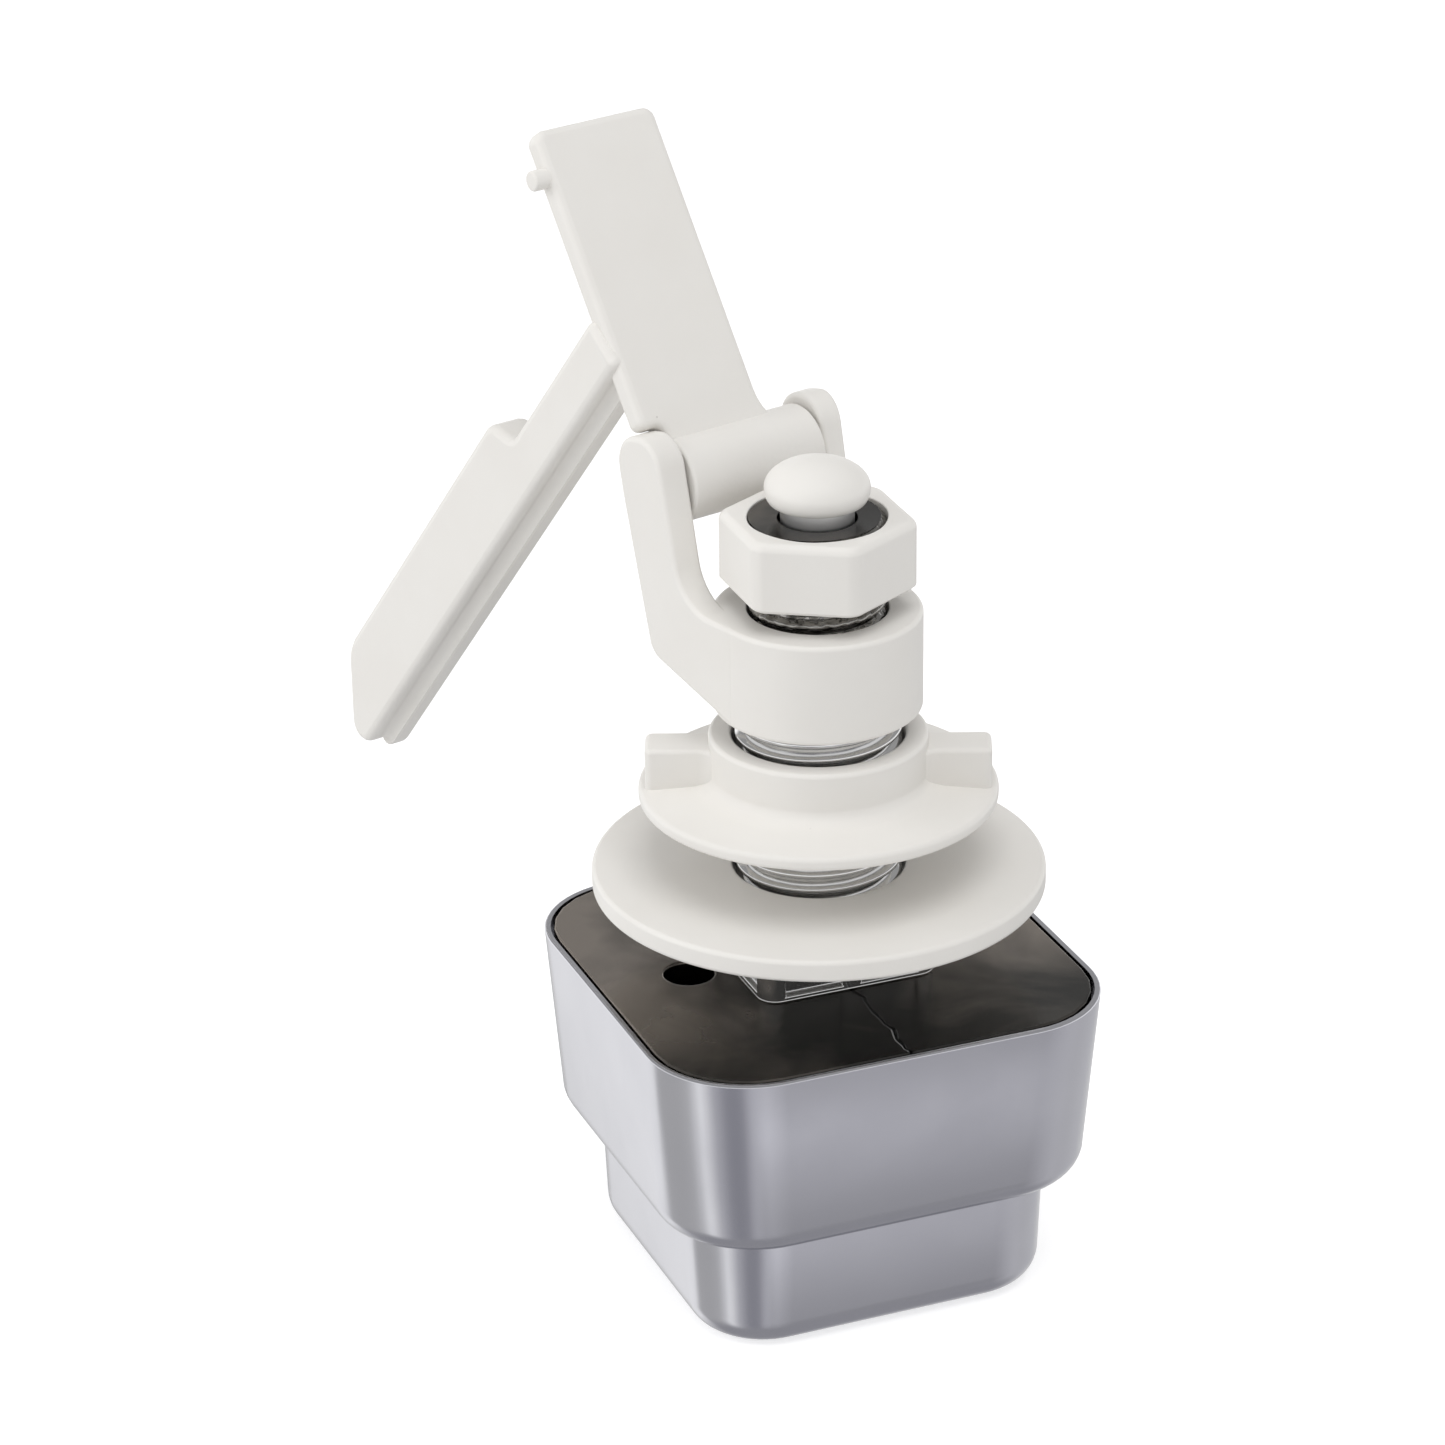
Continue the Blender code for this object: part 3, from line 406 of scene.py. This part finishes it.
def makePlate(spec):
    bm = copyNode("threaded_shank")
    bmesh.ops.bisect_plane(bm, geom=bm.verts[:] + bm.edges[:] + bm.faces[:], plane_co=(0, 0, spec["cut"] * mm),
                           plane_no=(0, 0, 1), clear_outer=True)
    bmesh.ops.bridge_loops(bm, edges=[e for e in bm.edges if e.is_boundary])
    rims = [e for e in bm.edges if min(v.co.z for v in e.verts) > spec["rimsAbove"] * mm]
    softenEdges(bm, spec["edge"], 50, 3, rims)
    # the plate below gets the chrome with painted dark and lighter reflections, the neck above gets bright chrome
    for face in bm.faces:
        face.material_index = 1 if face.calc_center_median().z > spec["brightAbove"] * mm else 0
    addPiece("backPlate", bm, "base", ["threaded_shank"], [paintedReflectionChrome, brightChrome])


makePlate(plate)

# thread of the shank in two steps, with rounded crests; the pitch is a guess
lowerThread = {"crest": 8.0, "root": 7.25, "pitch": 1.5, "low": 40.6, "high": 58.1, "bore": 3.8, "dish": 0.08,
               "crestRound": 0.08}
upperThread = {"crest": 6.52, "root": 5.95, "pitch": 1.5, "low": 58.1, "high": 77.5, "bore": 3.8, "dish": 0.08,
               "crestRound": 0.08}


def makeThread(name, spec, materials):
    bm = bmesh.new()
    turns = math.ceil((spec["high"] - spec["low"]) / spec["pitch"]) + 3
    soft = spec["crest"] - spec["crestRound"]
    shape = [(0.0, spec["root"]), (0.14, spec["root"]), (0.42, soft), (0.5, spec["crest"]), (0.66, spec["crest"]),
             (0.74, soft)]  # one turn as shares of the pitch and radii
    start = spec["low"] - 2 * spec["pitch"]
    verts = [bm.verts.new((r * mm, 0, (start + (turn + share) * spec["pitch"]) * mm)) for turn in range(turns)
             for share, r in shape]
    for one, two in zip(verts, verts[1:]):
        bm.edges.new((one, two))
    steps = 96
    bmesh.ops.spin(bm, geom=bm.verts[:] + bm.edges[:], axis=(0, 0, 1), cent=(0, 0, 0), angle=math.tau, steps=steps,
                   dvec=(0, 0, spec["pitch"] / steps * mm))
    bmesh.ops.remove_doubles(bm, verts=bm.verts, dist=0.001 * mm)
    ends = ((spec["low"], -1), (spec["high"], 1))
    for height, side in ends:
        bmesh.ops.bisect_plane(bm, geom=bm.verts[:] + bm.edges[:] + bm.faces[:], plane_co=(0, 0, height * mm),
                               plane_no=(0, 0, side), clear_outer=True)
    rims = []
    for height, side in ends:
        outer = [e for e in bm.edges if e.is_boundary and all(abs(v.co.z - height * mm) < 1e-6 for v in e.verts)]
        ring = bmesh.ops.create_circle(bm, segments=steps, radius=spec["bore"] * mm,
                                       matrix=Matrix.Translation((0, 0, (height - side * spec["dish"]) * mm)))
        inner = list({e for v in ring["verts"] for e in v.link_edges})
        bmesh.ops.bridge_loops(bm, edges=outer + inner)
        rims += inner
    bmesh.ops.bridge_loops(bm, edges=rims)
    bmesh.ops.recalc_face_normals(bm, faces=bm.faces)
    for face in bm.faces:  # the last material is for the end and the bore
        crest = max(Vector(v.co.xy).length for v in face.verts) > spec["root"] * mm - 1e-6
        face.material_index = 0 if crest and abs(face.normal.z) < 0.99 else len(materials) - 1
    addPiece(name, bm, "base", ["threaded_shank"], materials, 40)


makeThread("lowerThread", lowerThread, [brightChrome])
# the upper thread's flanks are painted dark with silver painted highlights; its end and bore take the plate's painted
# dark reflection
makeThread("upperThread", upperThread, [paintedReflectionThreadChrome, paintedReflectionChrome])

# rod and its mushroom head, which sits on the rod by a socket
rod = {"radius": 3.5, "low": 3.6, "high": 80.0, "edge": 0.3}
head = {"radius": 5.0, "foot": 4.2, "low": 79.0, "rim": 80.5, "top": 83.2, "socket": 3.8, "socketTop": 80.3}


def makeRod(spec):
    bm = turned([(0, spec["low"]), (spec["radius"], spec["low"]), (spec["radius"], spec["high"]), (0, spec["high"])],
                [0, spec["edge"], spec["edge"], 0], 64)
    addPiece("pushRodBar", bm, "button", ["push_rod"], [rodChrome])


def makeHead(spec):
    rise, undercut = spec["top"] - spec["rim"], spec["rim"] - spec["low"]
    outline, domeSteps, footSteps = [], 14, 8
    for step in range(domeSteps + 1):
        turn = step / domeSteps * math.pi / 2
        outline.append((spec["radius"] * math.sin(turn), spec["rim"] + rise * math.cos(turn)))
    for step in range(1, footSteps + 1):
        turn = step / footSteps * math.pi / 2
        outline.append((spec["foot"] + (spec["radius"] - spec["foot"]) * math.cos(turn),
                        spec["rim"] - undercut * math.sin(turn)))
    outline += [(spec["socket"], spec["low"]), (spec["socket"], spec["socketTop"]), (0, spec["socketTop"])]
    bm = turned(outline, [0] * len(outline), 64)
    addPiece("rodCap", bm, "button", ["rod_head"], [whitePlastic])


makeRod(rod)
makeHead(head)
print("shank, thread and rod made")

# flat washer with softened rims
washer = {"bore": 8.3, "radius": 21.8, "low": 39.8, "high": 42.0, "edge": 0.45, "boreLowEdge": 0.2, "boreHighEdge": 0.3}


def makeWasher(spec):
    bm = turned([(spec["bore"], spec["low"]), (spec["radius"], spec["low"]), (spec["radius"], spec["high"]),
                 (spec["bore"], spec["high"])],
                [spec["boreLowEdge"], spec["edge"], spec["edge"], spec["boreHighEdge"]], 160)
    addPiece("washerRing", bm, "base", ["flat_washer"], [whitePlastic])


makeWasher(washer)

# wing nut: round hub on a low coned flange, with two square-ended wings that flow into the hub
wingNut = {"bore": 8.3, "hub": 10.5, "flange": 17.2, "low": 49.0, "high": 55.7, "flangeThick": 1.3, "cone": 0.6,
           "coneFoot": 1.2, "wingReach": 16.5, "wingHalf": 2.2, "wingLow": 49.6, "wingHigh": 54.5, "fillet": 2.2,
           "turn": -22.8, "edge": 0.45, "boreEdge": 0.35, "coneRound": 0.6, "coneDip": 0.1, "coneLift": 0.5,
           "tipRound": 0.7, "rootBack": 0.8, "hair": 0.05}


def makeWingNut(spec):
    flangeTop = spec["low"] + spec["flangeThick"]
    body = turned([(spec["bore"], spec["low"]), (spec["flange"], spec["low"]), (spec["flange"], flangeTop),
                   (spec["hub"] + spec["coneFoot"], flangeTop + spec["cone"] - spec["coneDip"]),
                   (spec["hub"], flangeTop + spec["cone"] + spec["coneLift"]), (spec["hub"], spec["high"]),
                   (spec["bore"], spec["high"])],
                  [0, spec["edge"], spec["edge"], spec["coneRound"], spec["coneRound"], spec["edge"], spec["boreEdge"]],
                  144)
    half, root, flare = spec["wingHalf"], (spec["bore"] + spec["hub"]) / 2, spec["wingHalf"] + spec["fillet"]
    outline = [(root - spec["rootBack"], -flare), (root, -flare), (root, -half), (spec["wingReach"], -half),
               (spec["wingReach"], half), (root, half), (root, flare), (root - spec["rootBack"], flare)]
    flow, tip = spec["fillet"] - spec["hair"], spec["tipRound"]
    bodies = [body]
    for side in range(2):
        wing = slab(outline, [0, 0, flow, tip, tip, flow, 0, 0], spec["wingLow"], spec["wingHigh"], "XY", spec["edge"])
        turn = math.radians(spec["turn"]) + side * math.pi
        bmesh.ops.rotate(wing, verts=wing.verts, matrix=Matrix.Rotation(turn, 3, "Z"))
        bodies.append(wing)
    addPiece("wingNutBody", gather(*bodies), "wing_nut", ["mounting_nut"], [whitePlastic])


makeWingNut(wingNut)

# hexagon nut, moulded with soft corners and a well rounded top rim
hexNut = {"flats": 16.6, "low": 70.8, "high": 77.7, "turn": -0.8, "corner": 0.9, "topEdge": 0.8, "lowEdge": 0.35,
          "bore": 6.68, "sink": 0.08, "toCircle": 0.57}


def makeHexNut(spec):
    bm, loops = bmesh.new(), []
    rings = [(spec["flats"] - 2 * spec["lowEdge"], spec["corner"], spec["low"]),
             (spec["flats"], spec["corner"], spec["low"] + spec["lowEdge"])]
    for flats, _, height in quarter(spec["flats"], 0, spec["high"] - spec["topEdge"], spec["topEdge"], 1, True, 6):
        rings.append((flats, spec["corner"], height))
    wide, low, high = spec["bore"] + spec["sink"], spec["low"] + spec["sink"], spec["high"] - spec["sink"]
    for radius, height in ((wide, high), (spec["bore"], high - spec["sink"]), (spec["bore"], low + spec["sink"]),
                           (wide, low)):
        rings.append((2 * radius, spec["toCircle"] * radius, height))  # corners rounded until the hexagon is a circle
    for flats, corner, height in rings:
        stand = Matrix.Translation((0, 0, height * mm)) @ Matrix.Rotation(math.radians(spec["turn"]), 4, "Z")
        made = bmesh.ops.create_circle(bm, cap_ends=True, segments=6, radius=flats / math.sqrt(3) * mm, matrix=stand)
        loops.append(roundedLoop(bm, made, corner, 8))
    skin(bm, loops, True)
    addPiece("hexNutBody", bm, "hex_nut", ["lock_nut"], [whitePlastic])


makeHexNut(hexNut)

# bracket: collar round the shank and two leaning arms with round ears
bracket = {"turn": 14.2, "bore": 6.7, "radius": 9.95, "low": 58.4, "high": 68.4, "edge": 0.45,
           "arms": ((-10.5, -7.25), (8.7, 11.5)), "lean": 13.5, "footBack": 12.5, "footRise": 3.6, "footRound": 1.2,
           "fillet": 3.6, "ear": 3.5, "earRise": 1.5, "earFlat": 0.4, "earUneven": 0.01, "earStraight": 2,
           "hingeBack": 13.7, "hingeHeight": 78.4, "boreLowEdge": 0.1, "boreHighEdge": 0.15, "hair": 0.02}


def makeBracket(spec):
    collar = turned([(spec["bore"], spec["low"]), (spec["radius"], spec["low"]), (spec["radius"], spec["high"]),
                     (spec["bore"], spec["high"])],
                    [spec["boreLowEdge"], spec["edge"], spec["edge"], spec["boreHighEdge"]], 144)
    lean = math.radians(spec["lean"])
    along, across = Vector((math.sin(lean), math.cos(lean))), Vector((math.cos(lean), -math.sin(lean)))
    ear = Vector((spec["hingeBack"], spec["hingeHeight"])) + spec["earRise"] * along
    top = ear + spec["ear"] * along
    front = ear - spec["ear"] * across
    foot = front - along * ((front.y - spec["high"]) / along.y)
    hair = spec["hair"]  # keeps the arm's flats off the collar's
    outline = [(0, spec["low"] + hair), (spec["footBack"], spec["low"] + spec["footRise"]),
               tuple(ear + spec["ear"] * across - spec["earStraight"] * along), tuple(top + spec["ear"] * across),
               tuple(top - spec["ear"] * across), tuple(foot), (0, spec["high"] - hair)]
    earRound = spec["ear"] - spec["earFlat"]  # uneven by a hair, so that the ear's corners are rounded one by one
    rounds = [0, spec["footRound"], 0, earRound, earRound - spec["earUneven"], spec["fillet"], 0]
    bodies = [collar]
    for low, high in spec["arms"]:
        arm = slab(outline, rounds, low, high, "YZ", spec["edge"])
        outer = max(abs(low), abs(high))
        for vert in arm.verts:  # the outer face runs out of the collar's side without a step
            if abs(vert.co.x) > abs(low + high) / 2 * mm:
                short = 1 - vert.co.y / (spec["hingeBack"] * mm)
                vert.co.x -= math.copysign((outer - spec["radius"]) * short * mm, vert.co.x)
        bodies.append(arm)
    bm = gather(*bodies)
    bmesh.ops.rotate(bm, verts=bm.verts, matrix=Matrix.Rotation(math.radians(spec["turn"]), 3, "Z"))
    addPiece("bracketBody", bm, "bracket", ["lever_bracket"], [whitePlastic])


makeBracket(bracket)

# lever: barrel, flat paddle with its peg, and the ribbed output arm
lever = {"tilt": 56.0, "shift": 0.75, "barrel": 4.1, "barrelHalf": 7.7, "edge": 0.35,
         "left": -10.1, "right": 3.6, "length": 35.2, "back": -0.3, "face": 2.1, "neck": 1.55, "flare": 4.65,
         "earClear": 5.1, "paddleEdge": 0.7, "tipRound": 1.2, "heelRound": 0.9,
         "pegRadius": 1.0, "pegReach": 1.5, "pegBack": 4.4, "pegSunk": 0.5, "pegEdge": 0.25,
         "armAngle": -106.0, "armRoot": 10.6, "armLength": 75.4, "neckLength": 19.2, "stepRun": 2.0, "neckHeight": 5.7,
         "armHeight": 9.2, "endSlant": 10.4, "endRound": 2.0, "armLeft": -10.74, "armWidth": 4.3, "armEdge": 0.8,
         "armRounds": (1.6, 1.2, 0.8), "under": 0.3, "ribLow": -0.9, "ribWidth": 1.8, "ribInset": 0.2,
         "ribShorter": 5.4, "ribTaper": 1.4, "ribRounds": (0.7, 0.6), "ribEdge": 0.3,
         "ribFillet": 1.0, "blendOver": 0.1, "blendDeep": 0.2, "blendEdge": 0.01}


def makeLever(spec):
    half = spec["barrelHalf"]
    barrel = turned([(0, -half), (spec["barrel"], -half), (spec["barrel"], half), (0, half)],
                    [0, spec["edge"], spec["edge"], 0], 64)
    bmesh.ops.rotate(barrel, verts=barrel.verts, matrix=Matrix.Rotation(math.pi / 2, 3, "Y"))
    tip, heel = spec["tipRound"], spec["heelRound"]
    paddle = slab([(-half, 0), (half, 0), (half, spec["neck"]), (spec["right"], spec["neck"]),
                   (spec["right"], spec["length"]), (spec["left"], spec["length"]), (spec["left"], spec["earClear"]),
                   (-half, spec["earClear"])],
                  [0, 0, 0, spec["flare"], tip, tip, heel, heel], spec["back"], spec["face"], "XY", spec["paddleEdge"])
    angle = math.radians(spec["armAngle"])
    along, across = Vector((math.cos(angle), math.sin(angle))), Vector((-math.sin(angle), math.cos(angle)))

    def onArm(points):
        return [tuple(Vector((spec["armRoot"], 0)) + along * s + across * w) for s, w in points]

    root, end = spec["back"] - spec["face"], spec["armLength"]
    right = spec["armLeft"] + spec["armWidth"]
    slant, curve = math.atan2(spec["armHeight"] - spec["under"], spec["endSlant"]), spec["endRound"]
    curveStart, curveSteps, point = end - curve / math.tan(slant / 2), 10, []
    for step in range(curveSteps + 1):
        turn = step / curveSteps * (math.pi - slant)
        point.append((curveStart + curve * math.sin(turn), spec["under"] + curve - curve * math.cos(turn)))
    bar = slab(onArm([(root, spec["under"]), *point, (end - spec["endSlant"], spec["armHeight"]),
                      (spec["neckLength"] + spec["stepRun"], spec["armHeight"]),
                      (spec["neckLength"], spec["neckHeight"]), (root, spec["neckHeight"])]),
               [0] * (1 + len(point)) + [*spec["armRounds"], 0], spec["armLeft"], right, "YZ", spec["armEdge"])
    ribEnd, ribTop = end - spec["ribShorter"], spec["under"] + 2 * spec["armEdge"]
    ribRight, ribMiddle = right - spec["ribInset"], (spec["ribLow"] + spec["under"]) / 2
    foot, web, fillet = ribRight - spec["ribWidth"], spec["under"], spec["ribFillet"]
    rib = slab(onArm([(0, spec["ribLow"]), (ribEnd, spec["ribLow"]), (ribEnd + spec["ribTaper"], ribMiddle),
                      (ribEnd + spec["ribTaper"], ribTop), (0, ribTop)]),
               [0, *spec["ribRounds"], 0, 0], foot, ribRight, "YZ", spec["ribEdge"])
    over, deep = fillet + spec["blendOver"], spec["blendDeep"]  # the fillet's strip reaches into the bar and the rib
    blend = slab([(foot - over, web), (foot, web), (foot, web - over), (foot + deep, web - over),
                  (foot + deep, web + deep), (foot - over, web + deep)],
                 [0, fillet, 0, 0, 0, 0], deep, ribEnd, "XY", spec["blendEdge"])
    onBar = Matrix(((1, 0, 0, 0), (0, across.x, along.x, spec["armRoot"] * mm), (0, across.y, along.y, 0),
                    (0, 0, 0, 1)))
    bmesh.ops.transform(blend, matrix=onBar, verts=blend.verts)
    bmesh.ops.recalc_face_normals(blend, faces=blend.faces)
    pegLength = spec["pegReach"] + spec["pegSunk"]
    peg = turned([(0, 0), (spec["pegRadius"], 0), (spec["pegRadius"], pegLength), (0, pegLength)],
                 [0, 0, spec["pegEdge"], 0], 32)
    bmesh.ops.rotate(peg, verts=peg.verts, matrix=Matrix.Rotation(-math.pi / 2, 3, "Y"))
    pegPlace = Vector((spec["left"] + spec["pegSunk"], spec["length"] - spec["pegBack"],
                       (spec["back"] + spec["face"]) / 2))
    bmesh.ops.translate(peg, verts=peg.verts, vec=pegPlace * mm)
    bm = gather(barrel, paddle, bar, rib, blend, peg)
    stand = (Matrix.Rotation(math.radians(bracket["turn"]), 4, "Z")
             @ Matrix.Translation((spec["shift"] * mm, bracket["hingeBack"] * mm, bracket["hingeHeight"] * mm))
             @ Matrix.Rotation(math.radians(spec["tilt"]), 4, "X"))
    bmesh.ops.transform(bm, matrix=stand, verts=bm.verts)
    addPiece("leverBody", bm, "crank", ["lever"], [whitePlastic])


makeLever(lever)
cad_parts["return_spring"].data.materials.clear()
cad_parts["return_spring"].data.materials.append(springSteel)
print("white fittings made")

# floor: pale and plain, lit up for the camera so that it stays white under the soft shadow, and a little for the part
floor = {"size": 1600.0, "colour": "#E8E8E8", "roughness": 0.9, "glow": 0.55, "bounce": 0.05}


def makeFloor(spec):
    bm = bmesh.new()
    bmesh.ops.create_grid(bm, x_segments=1, y_segments=1, size=spec["size"] / 2 * mm)
    mesh = bpy.data.meshes.new("floor")
    bm.to_mesh(mesh)
    bm.free()
    plane = bpy.data.objects.new("floor", mesh)
    bpy.context.scene.collection.objects.link(plane)
    material, tree, shader, _ = startMaterial("paleFloor")
    shader.inputs["Base Color"].default_value = fromHex(spec["colour"])
    shader.inputs["Roughness"].default_value = spec["roughness"]
    power = put(tree, "MapRange", {"Value": put(tree, "LightPath").outputs["Is Camera Ray"], "To Min": spec["bounce"],
                                   "To Max": spec["glow"]})
    glow = put(tree, "Emission", {"Color": (1, 1, 1, 1), "Strength": power.outputs["Result"]})
    lit = put(tree, "AddShader", {0: shader.outputs["BSDF"], 1: glow.outputs["Emission"]})
    tree.links.new(lit.outputs["Shader"], tree.nodes["Material Output"].inputs["Surface"])
    mesh.materials.append(material)
    plane.visible_glossy = False  # mirrors see the screens instead


makeFloor(floor)

# soft studio light: a pale room, a large lamp above and one at the left; mirrors see white and grey screens all round
# below the part, a bright skyline and a dim ceiling; a screen is (compass place, brightness), 0.5 being +X, 0.75 +Y
light = {"room": 0.585, "lampSize": 500.0, "aim": (0, 0, 50.0),
         "lamps": {"topLamp": (2.3, (-40.0, -280.0, 780.0)), "leftLamp": (1.75, (-700.0, 200.0, 330.0))},
         "screenPower": 1.35,
         "screens": [(0.000, "#ACACAC"), (0.020, "#C4C4C4"), (0.042, "#F0F0F0"), (0.062, "#D0D0D0"), (0.085, "#A8A8AC"),
                     (0.125, "#84848A"), (0.165, "#84848A"), (0.205, "#C8C8CC"), (0.235, "#DEDEE2"), (0.300, "#C4C4C8"),
                     (0.360, "#BABABE"), (0.480, "#B0B0B2"), (0.580, "#B4B4B6"), (0.640, "#C4C4C4"), (0.740, "#B4B4B4"),
                     (0.800, "#E4E4E4"), (0.862, "#E8E8E8"), (0.884, "#A4A4A4"), (0.970, "#A6A6A6"),
                     (1.000, "#ACACAC")],
         "frontScreen": [(0.180, "#000000"), (0.220, "#FFFFFF"), (0.350, "#FFFFFF"), (0.450, "#000000")],
         "frontRise": [(0.00, "#BCBCBC"), (0.42, "#FFFFFF"), (0.62, "#CACACA")], "riseFrom": -0.65, "riseTo": -0.30,
         "outlook": [(0.140, "#8C8C90"), (0.400, "#FFFFFF"), (0.550, "#FFFFFF"), (0.620, "#949494")],
         "outlookShare": [(0.060, "#FFFFFF"), (0.140, "#000000"), (0.375, "#000000"), (0.430, "#FFFFFF")]}


def makeLight(spec):
    world = bpy.data.worlds.new("paleRoom")
    bpy.context.scene.world = world
    world.use_nodes = True
    world.cycles.sampling_method = "NONE"
    tree = world.node_tree
    way = put(tree, "TexCoord").outputs["Generated"]
    around = put(tree, "TexGradient", {"Vector": way}, gradient_type="RADIAL").outputs["Fac"]
    screens = put(tree, "ValToRGB", {"Fac": around})
    setRamp(screens, spec["screens"])
    front = put(tree, "ValToRGB", {"Fac": around})
    setRamp(front, spec["frontScreen"])
    rise = put(tree, "SeparateXYZ", {"Vector": way}).outputs["Z"]
    share = put(tree, "MapRange", {"Value": rise, "From Min": spec["riseFrom"], "From Max": spec["riseTo"]})
    fade = put(tree, "ValToRGB", {"Fac": share.outputs["Result"]})
    setRamp(fade, spec["frontRise"])
    shaded = put(tree, "Mix", {"Factor": front.outputs["Color"], "A": screens.outputs["Color"],
                               "B": fade.outputs["Color"]}, data_type="RGBA", blend_type="MULTIPLY")
    tall = put(tree, "MapRange", {"Value": rise, "From Min": -1.0, "From Max": 1.0})
    outlook = put(tree, "ValToRGB", {"Fac": tall.outputs["Result"]})
    setRamp(outlook, spec["outlook"])
    outlookShare = put(tree, "ValToRGB", {"Fac": tall.outputs["Result"]})
    setRamp(outlookShare, spec["outlookShare"])
    whole = put(tree, "Mix", {"Factor": outlookShare.outputs["Color"], "A": shaded.outputs["Result"],
                              "B": outlook.outputs["Color"]}, data_type="RGBA")
    mirrored = put(tree, "VectorMath", {0: whole.outputs["Result"], "Scale": spec["screenPower"]}, operation="SCALE")
    path = put(tree, "LightPath")
    felt = put(tree, "Mix", {"Factor": path.outputs["Is Glossy Ray"], "A": (*[spec["room"]] * 3, 1),
                             "B": mirrored.outputs["Vector"]}, data_type="RGBA")
    seen = put(tree, "Mix", {"Factor": path.outputs["Is Camera Ray"], "A": felt.outputs["Result"], "B": (1, 1, 1, 1)},
               data_type="RGBA")
    tree.links.new(seen.outputs["Result"], tree.nodes["Background"].inputs["Color"])
    for name, (watts, place) in spec["lamps"].items():
        data = bpy.data.lights.new(name, "AREA")
        data.size, data.energy = spec["lampSize"] * mm, watts
        lamp = bpy.data.objects.new(name, data)
        lamp.location = Vector(place) * mm
        lamp.rotation_euler = (Vector(spec["aim"]) * mm - lamp.location).to_track_quat("-Z", "Y").to_euler()
        lamp.visible_glossy = False
        bpy.context.scene.collection.objects.link(lamp)


makeLight(light)

# camera: about half a metre away, a little above, turned to the front left
view = {"aim": (0, 0, 56.39), "turn": 22.79, "rise": 24.465, "away": 493.884, "lens": 129.7, "sensor": 36,
        "shift": -0.0663, "roll": -0.2528, "near": 10, "far": 10000}


def makeCamera(spec):
    turn, rise = math.radians(spec["turn"]), math.radians(spec["rise"])
    back = Vector((-math.sin(turn) * math.cos(rise), -math.cos(turn) * math.cos(rise), math.sin(rise)))
    data = bpy.data.cameras.new("camera")
    data.lens, data.sensor_width, data.shift_x = spec["lens"], spec["sensor"], spec["shift"]
    data.clip_start, data.clip_end = spec["near"] * mm, spec["far"] * mm
    camera = bpy.data.objects.new("camera", data)
    camera.location = Vector(spec["aim"]) * mm + back * spec["away"] * mm
    look = (-back).to_track_quat("-Z", "Y") @ Matrix.Rotation(math.radians(spec["roll"]), 3, "Z").to_quaternion()
    camera.rotation_euler = look.to_euler()
    bpy.context.scene.collection.objects.link(camera)
    bpy.context.scene.camera = camera


makeCamera(view)
bpy.context.scene.view_settings.view_transform = "Standard"
print("stage set")
